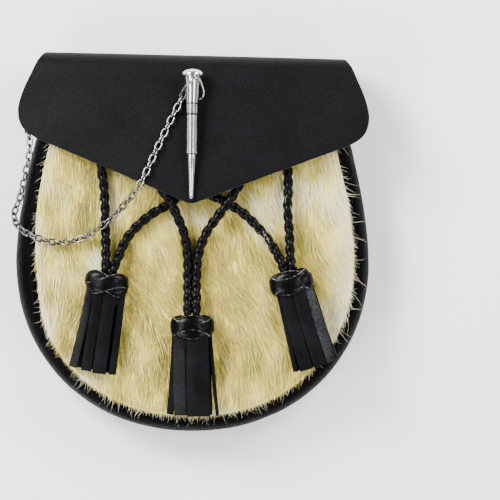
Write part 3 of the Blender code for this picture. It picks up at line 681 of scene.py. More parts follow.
class Paint:
    """A material while it is made: its shader, and the place on the object that its patterns read."""

    def __init__(self, name: str) -> None:
        """Starts a material.

        Args:
            name: its name.
        """
        self.material = bpy.data.materials.new(name)
        self.material.use_nodes = True
        self.place = self.add("TexCoord", output="Object")

    def add(self, kind: str, inputs: dict[Any, Any] | None = None, output: Any = 0,
            stops: Sequence[tuple[float, str]] = (), **settings: Any) -> Socket:
        """Adds a node.

        Args:
            kind: the node's kind, such as "Math".
            inputs: input name or index to a value or a socket.
            output: name or index of the wanted output.
            stops: places and sRGB hex colours of a colour ramp.
            settings: the node's own properties.

        Returns:
            The output.
        """
        node = add_node(self.material.node_tree, "ShaderNode" + kind, inputs, **settings)
        marks = node.color_ramp.elements if stops else ()
        for mark, (position, colour) in zip(marks, (*stops[:1], *stops[-1:])):
            mark.position, mark.color = position, linear(colour)
        for position, colour in stops[1:-1]:
            marks.new(position).color = linear(colour)
        return node.outputs[output]

    def scaled(self, size_mm: float, **inputs: Any) -> dict[str, Any]:
        """The inputs of a pattern whose features have a size in millimetres."""
        return {"Vector": self.place, "Scale": 1 / (size_mm * MM), **inputs}

    def finish(self, looks: dict[str, Any]) -> bpy.types.Material:
        """Sets the shader.

        Args:
            looks: the shader's input name to a value or a socket.

        Returns:
            The material.
        """
        shader = self.material.node_tree.nodes["Principled BSDF"]
        for name, value in looks.items():
            if isinstance(value, bpy.types.NodeSocket):
                self.material.node_tree.links.new(value, shader.inputs[name])
            else:
                shader.inputs[name].default_value = value
        return self.material


class Grain(Enum):
    """How a leather's surface was finished."""

    SMOOTH = "smooth"
    PEBBLED = "pebbled"


@dataclass(frozen=True)
class Leather:
    """Drum-dyed black leather. The grain gives the eye tiny soft glints, and creases catch a little more."""

    name: str
    colour: str
    light: str
    roughness: float
    sheen: float                    # how much light the surface reflects at a glance
    grain_mm: float                 # the real grain of 0.2 mm is too fine to show, so it is drawn coarser
    depth_mm: float
    crease: float = 0.25
    cloud: float = 1.0              # how uneven the dye is from place to place
    grain: Grain = Grain.SMOOTH
    cloud_mm: float = 22.0
    crease_mm: float = 7.0
    crease_depth_mm: float = 0.35

    def make(self) -> bpy.types.Material:
        """Builds the material: colour variation, grain bump and roughness that follows the grain."""
        paint = Paint(self.name)
        height = speck = paint.add("TexNoise", paint.scaled(self.grain_mm, Detail=2.0, Roughness=0.6))
        if self.grain is Grain.PEBBLED:
            cells = paint.add("TexVoronoi", paint.scaled(self.grain_mm, Smoothness=0.35), "Distance",
                              feature="SMOOTH_F1")
            height = paint.add("Math", {0: 1.0, 1: cells}, operation="SUBTRACT")
        cloud = paint.add("TexNoise", paint.scaled(self.cloud_mm, Detail=3.0))
        fold = paint.add("TexNoise", paint.scaled(self.crease_mm, Detail=4.0, Distortion=0.4))
        even = paint.add("Math", {0: cloud, 1: self.cloud, 2: 0.5 - self.cloud / 2}, operation="MULTIPLY_ADD")
        share = paint.add("Math", {0: even, 1: speck}, operation="MULTIPLY")
        shade = paint.add("MapRange", {0: share, 1: 0.15, 2: 0.42, 3: 0.0, 4: 1.0})
        creased = paint.add("Bump", {"Height": fold, "Strength": self.crease,
                                     "Distance": self.crease_depth_mm * MM})
        return paint.finish({
            "Base Color": paint.add("Mix", {0: shade, MIX_FIRST: linear(self.colour),
                                            MIX_SECOND: linear(self.light)}, MIX_RESULT, data_type="RGBA"),
            "Roughness": paint.add("MapRange", {0: height, 1: 0.3, 2: 0.8, 3: self.roughness + 0.08,
                                                4: self.roughness - 0.08}),
            "Normal": paint.add("Bump", {"Height": height, "Strength": 0.8, "Distance": self.depth_mm * MM,
                                         "Normal": creased}),
            "Specular IOR Level": self.sheen})


@dataclass(frozen=True)
class CutEdge:
    """The raw edge of cut black leather: fibres show grey, broken up by dark dye."""

    name: str
    colour: str
    dark: str
    fibre_mm: float = 1.6

    def make(self) -> bpy.types.Material:
        """Builds the material."""
        paint = Paint(self.name)
        fibres = paint.add("TexNoise", paint.scaled(self.fibre_mm, Detail=3.0))
        colour = paint.add("ValToRGB", {0: fibres}, stops=((0.46, self.dark), (0.6, self.colour)))
        return paint.finish({"Base Color": colour, "Roughness": 0.8})


@dataclass(frozen=True)
class Fur:
    """Undyed cream fur: golden drifts, pale locks and a few white hairs, all darker towards the root, which is painted
    shade between the hairs.
    """

    name: str
    gold: str = "#968653"
    body: str = "#cdbb53"
    pale: str = "#eadb78"
    white: str = "#fdf8d4"
    # The root colour darkens each hair towards its root: painted shade between the hairs.
    root: str = "#88867a"
    tip: str = "#ffffff"
    roughness: float = 0.6
    hair: bool = True
    drift_mm: float = 26.0
    streak_mm: float = 0.9

    def make(self) -> bpy.types.Material:
        """Builds the material from each hair's stored tone and its place along the hair."""
        paint = Paint(self.name)
        if self.hair:
            along, tone = (paint.add("Attribute", output="Fac", attribute_name=name)
                           for name in ("along", "tone"))
        else:
            streak = paint.add("Mapping", {"Vector": paint.place, "Scale": (1.0, 0.16, 1.0)})
            streaks = {**paint.scaled(self.streak_mm, Detail=3.0), "Vector": streak}
            along = tone = paint.add("TexNoise", streaks)
        drift = paint.add("TexNoise", paint.scaled(self.drift_mm, Detail=2.0))
        soft = paint.add("MapRange", {0: drift, 1: 0.32, 2: 0.68, 3: 0.0, 4: 0.28})
        share = paint.add("Math", {0: tone, 1: 0.74, 2: soft}, operation="MULTIPLY_ADD")
        colour = paint.add("ValToRGB", {0: share}, stops=(
            (0.1, self.gold), (0.38, self.body), (0.66, self.pale), (0.92, self.white)))
        # Darker towards the root, which is painted shade between the hairs; on the underlay a noise stands in for the
        # place along the hair.
        shade = paint.add("ValToRGB", {0: along}, stops=((0.0, self.root), (0.45, self.tip)))
        return paint.finish({
            "Base Color": paint.add("Mix", {0: 1.0, MIX_FIRST: colour, MIX_SECOND: shade}, MIX_RESULT,
                                    data_type="RGBA", blend_type="MULTIPLY"),
            "Roughness": self.roughness, "Specular IOR Level": 0.3})


@dataclass(frozen=True)
class Metal:
    """Bright metal with fine marks left by the tool or the plating bath, and slightly duller patches."""

    name: str
    colour: str
    roughness: float
    mark_mm: float = 0.35
    depth_mm: float = 0.004
    dull: float = 0.12
    patch_mm: float = 5.0

    def make(self) -> bpy.types.Material:
        """Builds the material."""
        paint = Paint(self.name)
        patch = paint.add("TexNoise", paint.scaled(self.patch_mm, Detail=4.0))
        marks = paint.add("TexNoise", paint.scaled(self.mark_mm, Detail=2.0))
        return paint.finish({
            "Roughness": paint.add("MapRange", {0: patch, 1: 0.3, 2: 0.7, 3: self.roughness,
                                                4: self.roughness + self.dull}),
            "Normal": paint.add("Bump", {"Height": marks, "Strength": 0.6, "Distance": self.depth_mm * MM}),
            "Base Color": linear(self.colour), "Metallic": 1.0})


@dataclass(frozen=True)
class Thread:
    """Waxed black linen thread, a little shinier than the leather, with a fine twist across each stitch."""

    name: str = "waxed_thread"
    colour: str = "#1c1c1e"
    twist_mm: float = 0.3
    depth_mm: float = 0.05

    def make(self) -> bpy.types.Material:
        """Builds the material."""
        paint = Paint(self.name)
        twist = paint.add("TexNoise", paint.scaled(self.twist_mm))
        return paint.finish({
            "Normal": paint.add("Bump", {"Height": twist, "Strength": 0.5, "Distance": self.depth_mm * MM}),
            "Base Color": linear(self.colour), "Roughness": 0.45})


class Finishes:
    """Every material of the pouch, made once."""

    def __init__(self) -> None:
        """Builds them."""
        self.flap = Leather("fine_grain_flap_leather", "#020203", "#131416", 0.6, 0.06, 0.85, 0.14, 0.04,
                            cloud=0.3).make()
        self.smooth = Leather("smooth_black_leather", "#0a0a0b", "#161719", 0.5, 0.2, 0.8, 0.05).make()
        self.pebble = Leather("pebble_grain_leather", "#020203", "#040405", 0.42, 0.021, 1.5, 0.4,
                              grain=Grain.PEBBLED).make()
        self.strap = Leather("matt_tassel_leather", "#030304", "#121315", 0.58, 0.05, 0.7, 0.1).make()
        # Two lighter copies of the tassel leather: painted sheen on strips that are tilted towards the lamps.
        self.lit_strap = Leather("worn_tassel_leather", "#0a0a0b", "#212224", 0.55, 0.07, 0.8, 0.12).make()
        self.brightly_lit_strap = Leather("scuffed_tassel_leather", "#060607", "#38393b", 0.5, 0.08, 1.0, 0.16).make()
        self.polished = Leather("polished_thong_leather", "#030304", "#08080a", 0.27, 0.085, 1.2, 0.03).make()
        self.edge = CutEdge("raw_cut_edge", "#8e8b87", "#161616").make()
        self.dark_edge = CutEdge("dyed_cut_edge", "#303134", "#161618").make()
        self.fur = Fur("cream_fur_hair").make()
        self.hide = Fur("cream_fur_underlay", hair=False, roughness=0.85).make()
        self.steel = Metal("turned_bright_steel", "#d8d9db", 0.19, depth_mm=0.001, dull=0.06).make()
        # A dark metal that is painted shade in the pin's grooves and under its step.
        self.groove_shade = Metal("painted_shade_in_grooves", "#2a2a2b", 0.6, depth_mm=0.02).make()
        self.nickel = Metal("nickel_plated_wire", "#6f6c68", 0.14, dull=0.06).make()
        self.warm_nickel = Metal("worn_nickel_wire", "#9c9486", 0.13, dull=0.05).make()
        self.thread = Thread().make()


# ---- the body's outline ----------------------------------------------------------------------------
@dataclass(frozen=True)
class BodyOutline:
    """The pouch's outline from the front: a full curve below and a slow taper to the top."""

    half_width: float = 109.7
    widest_y: float = -11.0
    bottom_y: float = -117.5
    top_y: float = 113.0
    bottom_power: float = 2.12
    top_taper: float = 0.251
    taper_power: float = 1.6
    pitch: float = 0.5

    def half_width_at(self, y: float) -> float:
        """Half the width at a height.

        Args:
            y: the height.

        Returns:
            Half the width there.
        """
        if y >= self.widest_y:
            share = (y - self.widest_y) / (self.top_y - self.widest_y)
            return self.half_width * (1 - self.top_taper * share ** self.taper_power)
        share = (self.widest_y - y) / (self.widest_y - self.bottom_y)
        return self.half_width * max(0.0, 1 - share ** self.bottom_power) ** (1 / self.bottom_power)

    def line(self, top_y: float) -> Points:
        """The open outline.

        Args:
            top_y: where it ends at the top.

        Returns:
            Points from the top left, round the bottom, to the top right.
        """
        left = [(-self.half_width_at(y), y) for y in np.linspace(top_y, self.widest_y, 80)]
        power = 2 / self.bottom_power
        bottom = []
        for angle in np.linspace(0.0, pi, 300)[1:-1]:
            across = -self.half_width * np.sign(cos(angle)) * abs(cos(angle)) ** power
            bottom.append((across, self.widest_y + (self.bottom_y - self.widest_y) * sin(angle) ** power))
        return np.array(left + bottom + [(-x, y) for x, y in reversed(left)])

    def frames(self, top_y: float, count: int) -> tuple[Points, Points]:
        """Evenly spaced points along the outline, with their outward directions.

        Args:
            top_y: where the outline ends at the top.
            count: number of points.

        Returns:
            The points and the directions.
        """
        points = resample(self.line(top_y), self.pitch)
        picked = np.linspace(0, len(points) - 1, count).astype(int)
        ahead = unit(points[np.minimum(picked + 2, len(points) - 1)] - points[np.maximum(picked - 2, 0)])
        return points[picked], np.stack([ahead[:, 1], -ahead[:, 0]], axis=1)

    def panel(self, inset: float, top_y: float, corner: float, count: int) -> Points:
        """A closed panel: the outline moved inwards, with a straight top and rounded corners.

        Args:
            inset: distance inside the outline.
            top_y: height of the straight top.
            corner: radius of its two corners.
            count: points along the sides and bottom.

        Returns:
            The closed outline.
        """
        points, normals = self.frames(top_y - corner, count)
        side = points - normals * inset
        turns = np.radians(np.linspace(10.0, 90.0, 9))
        across, up = corner * (1 - np.cos(turns)), corner * np.sin(turns)
        right = np.stack([side[-1, 0] - across, top_y - corner + up], axis=1)
        left = right[::-1] * (-1, 1)
        top = np.linspace(right[-1], left[0], 40)[1:-1]
        return np.concatenate([side, right, top, left])


OUTLINE = BodyOutline()


def edge_distance(places: Points, outline: Points) -> tuple[Points, Points]:
    """Distance from points to a closed outline, negative outside it, and the way to its nearest point.

    Args:
        places: the points, x and y.
        outline: the outline's points.

    Returns:
        One distance and one direction for each point.
    """
    start, end = outline, np.roll(outline, -1, axis=0)
    run = end - start
    gap = places[:, None, :] - start[None]
    share = np.clip((gap * run).sum(-1) / np.maximum((run ** 2).sum(-1), 1e-9), 0.0, 1.0)
    reach = share[..., None] * run[None] - gap
    every = np.linalg.norm(reach, axis=-1)
    near, way = every.min(axis=1), unit(reach[np.arange(len(places)), every.argmin(axis=1)])
    above = (start[None, :, 1] > places[:, None, 1]) != (end[None, :, 1] > places[:, None, 1])
    slope = np.where(np.abs(run[:, 1]) < 1e-9, 1e-9, run[:, 1])
    crossing = start[None, :, 0] + (places[:, None, 1] - start[None, :, 1]) / slope[None] * run[None, :, 0]
    inside = ((crossing > places[:, None, 0]) & above).sum(axis=1) % 2 == 1
    return np.where(inside, near, -near), way


# ---- camera, floor and light -----------------------------------------------------------------------
class Softbox(NamedTuple):
    """A square light, in metres and watts."""

    name: str
    x: float
    y: float
    z: float
    size: float
    power: float


LIGHTS = (
    Softbox("top_left_softbox", -0.9, 0.8, 0.95, 0.6, 60.0),
    Softbox("top_right_softbox", 0.95, 0.85, 0.9, 0.6, 29.0),
    Softbox("left_strip", -0.85, 0.05, 1.15, 0.35, 6.0),
    Softbox("right_strip", 0.7, 0.05, 1.25, 0.3, 4.5),
    Softbox("low_left_softbox", -0.9, -0.9, 0.9, 0.7, 24.0),
    Softbox("low_right_softbox", 0.9, -0.9, 0.9, 0.7, 16.0),
)


@dataclass
class Studio:
    """A pale floor, soft light from above and a camera that looks straight down."""

    pixels: float = 500.0
    pixel_mm: float = 0.62
    origin_u: float = 192.3
    origin_v: float = 242.0
    distance: float = 4.0           # in metres, like the level
    level: float = 0.030            # height at which the photograph's scale holds
    sensor: float = 36.0
    floor_half: float = 6000.0
    floor_z: float = -0.6
    floor_tones: tuple[float, float] = (0.9, 0.93)
    haze_mm: float = 500.0
    surround: str = "#e6e9ee"
    surround_strength: float = 0.26

    def set_camera(self) -> None:
        """Places the camera over the photograph's middle."""
        camera = piece_of("camera", bpy.data.cameras.new("camera"))
        camera.data.sensor_width = self.sensor
        camera.data.lens = self.sensor * self.distance / (self.pixels * self.pixel_mm * MM)
        camera.data.clip_end = 20.0
        middle = self.pixels / 2
        camera.location = ((middle - self.origin_u) * self.pixel_mm * MM,
                           (self.origin_v - middle) * self.pixel_mm * MM, self.level + self.distance)
        bpy.context.scene.camera = camera

    def build(self) -> None:
        """Makes the floor, the lights that face the pouch, and the pale surroundings."""
        paint = Paint("matt_white_floor")
        haze = paint.add("TexNoise", paint.scaled(self.haze_mm))
        tone = paint.add("MapRange", {0: haze, 3: self.floor_tones[0], 4: self.floor_tones[1]})
        white = paint.finish({"Base Color": tone, "Roughness": 0.9})
        corners = [(x * self.floor_half, y * self.floor_half, self.floor_z)
                   for x, y in ((-1, -1), (1, -1), (1, 1), (-1, 1))]
        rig.stage(piece_from("floor", corners, [(0, 1, 2, 3)], white))
        for box in LIGHTS:
            light = piece_of(box.name, bpy.data.lights.new(box.name, "AREA"))
            light.data.size = box.size
            light.data.energy = box.power
            light.location = (box.x, box.y, box.z)
            light.rotation_mode = "QUATERNION"
            aim = Vector((0.0, 0.0, self.level)) - light.location
            light.rotation_quaternion = aim.to_track_quat("-Z", "Y")
        world = bpy.data.worlds.new("white_studio")
        world.use_nodes = True
        ground = world.node_tree.nodes["Background"]
        ground.inputs["Color"].default_value = linear(self.surround)
        ground.inputs["Strength"].default_value = self.surround_strength
        bpy.context.scene.world = world


# ---- cords -----------------------------------------------------------------------------------------
class RoutePoint(NamedTuple):
    """A point that a cord or a chain passes through."""

    x: float
    y: float
    z: float


def route(*points: tuple[float, float, float]) -> tuple[RoutePoint, ...]:
    """A route through points."""
    return tuple(RoutePoint(*point) for point in points)


CORD_ROUTES = {
    "left": route(              # from the left knot up, across under the flap, down to the middle knot
        (-54.0, -18.3, 46.4), (-53.3, -14.2, 46.2), (-53.3, -7.0, 43.4), (-53.5, 5.0, 41.6),
        (-53.7, 18.0, 41.4), (-54.4, 33.0, 41.1), (-56.0, 45.0, 41.0), (-54.5, 53.5, 41.2),
        (-47.0, 58.0, 41.4), (-37.0, 54.5, 41.9), (-27.5, 43.5, 43.0), (-19.5, 33.0, 45.8),
        (-13.3, 24.6, 47.5), (-9.0, 15.5, 46.0), (-4.8, 4.5, 42.9), (-2.9, -8.0, 42.1), (-2.6, -22.0, 42.3),
        (-2.6, -34.0, 44.6), (-2.6, -41.5, 47.5), (-2.6, -45.5, 47.7)),
    "middle": route(            # from the left knot over to the right one, under both other cords
        (-48.8, -19.0, 46.4), (-47.9, -15.0, 46.2), (-45.0, -8.0, 43.4), (-40.8, 1.5, 41.9),
        (-33.2, 10.6, 42.0), (-24.4, 17.6, 42.0), (-15.6, 22.6, 41.9), (-8.0, 28.0, 41.9), (2.0, 31.5, 42.0),
        (12.5, 28.5, 41.9), (22.2, 23.8, 41.9), (32.0, 17.4, 42.0), (42.0, 7.6, 42.0), (50.6, -4.4, 42.4),
        (56.0, -14.8, 46.2), (57.1, -18.7, 46.4)),
    "right": route(             # from the middle knot up, across under the flap, down to the right knot
        (2.6, -45.5, 47.7), (2.6, -41.5, 47.5), (2.6, -34.0, 44.6), (2.6, -22.0, 42.3), (3.8, -8.0, 42.1),
        (8.4, 5.0, 42.9), (16.0, 16.0, 46.0), (22.4, 24.4, 47.5), (28.0, 33.4, 45.8), (34.5, 44.5, 43.0),
        (43.0, 53.5, 41.9), (52.0, 56.0, 41.3), (58.2, 50.0, 40.9), (59.4, 38.0, 40.7), (59.1, 20.0, 41.0),
        (60.2, 4.0, 41.4), (60.6, -7.0, 43.4), (61.2, -13.6, 46.2), (62.1, -17.6, 46.4)),
}


@dataclass
class BraidedCords:
    """Three round cords, each braided from four leather thongs: two turn one way, two the other."""

    finishes: Finishes
    diameter: float = 4.8
    fullness: float = 0.75          # how far the thongs' humps stand out of the cord's mean surface
    pitch: float = 14.0             # length in which a thong goes once round
    thong_width: float = 3.8
    thong_thickness: float = 1.5
    weave: float = 0.45             # how far a thong moves out over its neighbour and in under it
    core: float = 1.8
    step: float = 0.55
    tucked: int = 4                 # steps that each end runs on inside its knot

    def braid(self) -> NodeShape:
        """The tree that winds four thongs round a line that carries its own square directions."""
        shape = NodeShape("wind_four_thongs", "Turn length", "Radius", "Weave", "Thong width",
                          "Thong thickness", "Core")
        size = shape.size
        line = shape.add("GeometryNodeMeshToCurve", {0: shape.base})
        four = shape.add("GeometryNodeDuplicateElements", {"Geometry": line, "Amount": 4}, "Geometry",
                         domain="SPLINE")
        kept = shape.store(four, "thong", four.beside("Duplicate Index"))
        thong = shape.named("thong")
        way = shape.sum("MULTIPLY_ADD", shape.sum("GREATER_THAN", thong, 1.5), -2.0, 1.0)
        odd = shape.sum("FLOOR", shape.sum("MODULO", thong + 0.01, 2.0))
        turn = shape.add("GeometryNodeSplineParameter", output="Length") / size["Turn length"] * (2 * pi)
        angle = turn * way + odd * pi
        radius = size["Radius"] + shape.sum("COSINE", turn * 2.0) * way * size["Weave"]
        side, rise = shape.named("side", "FLOAT_VECTOR"), shape.named("rise", "FLOAT_VECTOR")
        out = side * shape.sum("COSINE", angle) + rise * shape.sum("SINE", angle)
        moved = shape.add("GeometryNodeSetPosition", {"Geometry": shape.store(kept, "out", out),
                                                      "Offset": out * radius})
        facing = shape.add("GeometryNodeSetCurveNormal", {
            "Curve": moved, "Normal": shape.named("out", "FLOAT_VECTOR")}, mode="FREE")
        ring = shape.add("GeometryNodeCurvePrimitiveCircle", {"Resolution": 8, "Radius": 0.5})
        flat = shape.add("ShaderNodeCombineXYZ", {0: size["Thong thickness"], 1: size["Thong width"], 2: 1.0})
        strap = shape.add("GeometryNodeTransform", {"Geometry": ring, "Scale": flat})
        round_core = shape.add("GeometryNodeCurvePrimitiveCircle", {"Resolution": 8, "Radius": size["Core"]})
        thongs, core = (shape.add("GeometryNodeCurveToMesh", {
            "Curve": curve, "Profile Curve": section, "Fill Caps": True})
            for curve, section in ((facing, strap), (line, round_core)))
        both = shape.add("GeometryNodeJoinGeometry")
        for part in (thongs, core):
            shape.tree.links.new(part.socket, both.socket.node.inputs[0])
        return shape.end(both)

    def build(self) -> None:
        shape = self.braid()
        radius = (self.diameter - self.thong_thickness) / 2 - self.weave + self.fullness
        for side, points in CORD_ROUTES.items():
            path = smooth_curve(points, self.step)
            more = np.arange(1, self.tucked + 1)[:, None]
            path = np.concatenate([path[0] + (path[0] - path[1]) * more[::-1], path,
                                   path[-1] + (path[-1] - path[-2]) * more])
            across, rise = carried_frames(path, (1.0, 0.0, 0.0))
            line = mesh_from("cord_line_" + side, path, [(i, i + 1) for i in range(len(path) - 1)],
                             side=across, rise=rise)
            cord = shape.run("braided_cord_" + side, line, self.finishes.polished,
                             Turn_length=self.pitch * MM, Radius=radius * MM, Weave=self.weave * MM,
                             Thong_width=self.thong_width * MM, Thong_thickness=self.thong_thickness * MM,
                             Core=self.core * MM)
            settle(cord, "glossy_leather", "cord_" + side)
            length = float(run_along(path)[-1]) * MM
            points = [tuple(p) for p in resample(path, 4.0) * MM]
            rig.cord(cord, exit=points[0], length=round(length, 4), diameter=self.diameter * MM,
                    far_end="object", stiffness="limp", lay="loose", path=points)
            log.info("cord %s: %.0f mm", side, length / MM)


# ---- leather body ----------------------------------------------------------------------------------
class SectionPoint(NamedTuple):
    """A point of the gusset's section: distance outside the outline, and height."""

    out: float
    height: float


GUSSET_SECTION = tuple(SectionPoint(*row) for row in (
    (-11.5, 2.3), (-8.0, 2.3), (-4.6, 2.45), (-1.4, 5.2), (0.0, 12.5), (-0.6, 20.0), (-3.4, 26.4),
    (-8.4, 29.8), (-15.5, 30.3)))


@dataclass
class LeatherBody:
    """The back panel and the gusset that bulges round the pouch."""

    finishes: Finishes
    back_inset: float = 3.5
    back_top_y: float = 104.0
    back_corner: float = 10.0
    gusset_top_y: float = 96.0
    stations: int = 260
    bevel: float = 0.5
    wrinkles: int = 26

    def build_back(self) -> None:
        """A flat panel with rounded edges."""
        outline = OUTLINE.panel(self.back_inset, self.back_top_y, self.back_corner, 240)
        count = len(outline)
        points = [(*p, height) for height in (0.0, LEATHER) for p in outline]
        faces = [tuple(range(count)), tuple(range(count, 2 * count)), *grid_faces(2, count, False, True)]
        panel = finish_shape(piece_from("back_panel_leather", points, faces, self.finishes.smooth))
        settle(finish_shape(rounded(panel, self.bevel, 50.0)), "smooth_leather", "back_panel")

    def build_gusset(self) -> None:
        """The side wall: a smooth section carried round the outline, with soft wrinkles in the leather."""
        points, normals = OUTLINE.frames(self.gusset_top_y, self.stations)
        section = smooth_curve(GUSSET_SECTION, 1.1)
        along, height = np.linspace(0.0, 1.0, self.stations)[:, None], section[None, :, 1]
        rng = np.random.default_rng(11)
        wrinkle = np.zeros((self.stations, len(section)))
        for _ in range(self.wrinkles):
            place, width = rng.uniform(0.0, 1.0), rng.uniform(0.006, 0.02)
            middle, depth = rng.uniform(8.0, 26.0), rng.uniform(-0.35, 0.25)
            drift = rng.uniform(-0.004, 0.004)
            away = (along - place - drift * (height - 15.0) / 5.0) / width
            wrinkle += depth * bell(away) * bell((height - middle) / 7.0)
        out = section[None, :, 0] + wrinkle
        places = np.empty((*out.shape, 3))
        places[..., :2] = points[:, None] + normals[:, None] * out[..., None]
        places[..., 2] = height
        faces = [face[::-1] for face in grid_faces(*out.shape)]
        gusset = piece_from("gusset_leather", places.reshape(-1, 3), faces, self.finishes.pebble)
        settle(finish_shape(plain_mesh(thickened(gusset, LEATHER, -1.0))), "pebble_leather", "gusset")

    def build(self) -> None:
        """Makes both pieces."""
        self.build_back()
        self.build_gusset()


# ---- fur -------------------------------------------------------------------------------------------
class Growth(Enum):
    """Where a layer of hair grows."""

    COAT = "all over the hide"
    RIM = "a short fringe along its edge"
    WILD = "long single hairs over its right edge"
    TUFT = "a few raised white tufts"


class FurLayer(NamedTuple):
    """A layer of hair over the hide."""

    name: str
    density: float                  # hairs to a square millimetre
    length: float
    width: float
    lift: float
    lock: float                     # spacing of the locks
    pull: float                     # how strongly a hair's tip is drawn to its lock
    spill: float                    # how far a tip may pass the hide's edge
    stray: float
    shade: float                    # paler above zero, more golden below; the lower layers' golden tone is painted shade in the gaps between the upper hairs
    growth: Growth
    seed: int


class Tuft(NamedTuple):
    """A place where white hair stands up over a cord or a knot."""

    x: float
    y: float
    radius: float
    strength: float


class CombStroke(NamedTuple):
    """Which way the hair lies at a place: degrees from straight down, positive to the right."""

    x: float
    y: float
    turn: float


class CoatToneAndLightPatch(NamedTuple):
    """A paler or more golden patch of the coat: some are the hair's own tone, others are painted shade beside the
    tassels, knots and cords and under the flap's edge, and others painted light that lifts shadowed fur under the flap
    and beside the tassels.
    """

    x: float
    y: float
    half_width: float
    half_height: float
    shade: float


FUR_LAYERS = (
    FurLayer("fur_under_hair", 0.24, 10.0, 0.50, 1.5, 5.5, 0.35, 0.0, 0.10, -0.26, Growth.COAT, 3),
    FurLayer("fur_hair_1", 0.24, 12.0, 0.42, 2.1, 3.6, 0.6, 0.1, 0.12, -0.14, Growth.COAT, 5),
    FurLayer("fur_hair_2", 0.22, 13.0, 0.40, 2.6, 2.3, 0.6, 0.3, 0.14, -0.04, Growth.COAT, 8),
    FurLayer("fur_hair_3", 0.18, 14.0, 0.34, 3.1, 1.8, 0.5, 0.5, 0.20, 0.04, Growth.COAT, 13),
    FurLayer("fur_hair_4", 0.12, 13.5, 0.34, 3.4, 3.0, 0.2, 0.7, 0.28, 0.10, Growth.COAT, 21),
    FurLayer("fur_rim_hair", 1.15, 5.9, 0.21, 1.2, 3.0, 0.0, 4.4, 0.7, 0.0, Growth.RIM, 34),
    FurLayer("fur_wild_hair", 0.13, 18.0, 0.22, 3.4, 4.0, 0.0, 18.0, 0.60, 0.0, Growth.WILD, 55),
    FurLayer("fur_tuft_hair", 1.40, 12.0, 0.20, 17.0, 3.0, 0.2, 4.0, 0.30, 0.0, Growth.TUFT, 89),
)
TUFTS = tuple(Tuft(*row) for row in (
    (-60.0, -9.0, 4.5, 1.0), (42.0, 9.5, 3.2, 0.8), (19.0, 30.0, 3.2, 0.7), (56.0, 29.0, 2.6, 0.35)))
BUNCHES = (34.0, 1.0, -34.0, -53.0)   # how far up the long hairs stand thickest
COMB = tuple(CombStroke(*row) for row in (
    (-82.0, 45.0, 0.0), (-60.0, 48.0, 4.0), (-91.0, 7.0, -4.0), (-70.0, 14.0, 6.0), (-60.0, -8.0, 28.0),
    (-88.0, -30.0, -2.0), (-73.0, -42.0, -22.0), (-82.0, -67.0, -18.0), (-45.0, 29.0, -14.0),
    (-29.0, 32.0, -18.0), (-48.0, 4.0, -16.0), (-32.0, 1.0, 22.0), (-20.0, 10.0, 26.0), (-26.0, -20.0, 36.0),
    (-14.0, -30.0, 40.0), (-26.0, -55.0, 8.0), (-32.0, -86.0, -4.0), (-17.0, -98.0, 0.0), (-1.0, 17.0, 14.0),
    (20.0, 4.0, 14.0), (36.0, 26.0, 26.0), (48.0, 10.0, 24.0), (30.0, -17.0, 30.0), (20.0, -42.0, 26.0),
    (39.0, -48.0, 34.0), (30.0, -79.0, 6.0), (45.0, -88.0, 2.0), (67.0, 38.0, 6.0), (85.0, 42.0, 12.0),
    (70.0, 7.0, 14.0), (88.0, 10.0, 38.0), (95.0, -5.0, 52.0), (79.0, -12.0, 30.0), (92.0, -30.0, 18.0),
    (82.0, -36.0, -8.0), (88.0, -55.0, -18.0), (60.0, -92.0, 0.0)))
# Some patches are the coat's own golden and pale patches; the rest are painted shade and painted light, darker beside
# the tassels, knots, cords and the flap's left edge, paler under the flap and where the tassels' shadows fall.
COAT_TONE_AND_LIGHT_PATCHES = tuple(CoatToneAndLightPatch(*row) for row in (
    (5.0, -25.0, 62.0, 62.0, -0.20), (76.0, 35.0, 24.0, 12.0, 0.55), (92.0, -20.0, 10.0, 46.0, 0.70),
    (-92.0, -40.0, 9.0, 46.0, 0.42), (36.0, 22.0, 8.0, 13.0, 0.95), (-2.0, 21.0, 18.0, 8.0, 0.70),
    (54.0, 24.0, 9.0, 24.0, 0.42), (-51.0, 28.0, 6.0, 16.0, 0.75), (-72.0, 9.0, 9.0, 8.0, -0.60),
    (-64.0, 36.0, 8.0, 20.0, -0.62), (-91.0, 28.0, 4.0, 5.0, -0.35), (-89.0, -28.0, 5.0, 4.0, -0.30),
    (-75.0, -53.0, 7.0, 11.0, -0.85), (-63.0, -31.0, 5.0, 6.0, -0.80), (-37.0, -36.0, 7.0, 18.0, -0.32),
    (78.0, 12.0, 5.0, 7.0, -0.30), (-43.0, -95.0, 6.0, 5.0, -0.30), (72.0, -26.0, 5.0, 9.0, -0.40),
    (9.0, 19.0, 4.5, 5.0, 0.50), (14.0, -64.0, 8.0, 26.0, 0.12), (-61.0, -10.0, 5.0, 7.0, 0.75),
    (-15.0, -66.0, 6.0, 30.0, -0.40), (48.0, -18.0, 6.0, 16.0, -0.38), (12.0, -103.0, 10.0, 6.0, 1.20),
    (-68.0, -80.0, 14.0, 8.0, 0.25), (85.0, -52.0, 8.0, 22.0, 0.75), (61.0, 40.0, 6.0, 11.0, 0.60),
    (-88.0, -60.0, 7.0, 14.0, 0.35), (61.0, -66.0, 5.0, 8.0, -0.50), (-26.0, 31.0, 6.0, 8.0, -0.30),
    (-38.0, 8.0, 6.0, 8.0, -0.30), (-1.0, 7.0, 6.0, 8.0, -0.30), (23.0, 18.0, 5.0, 7.0, -0.35)))


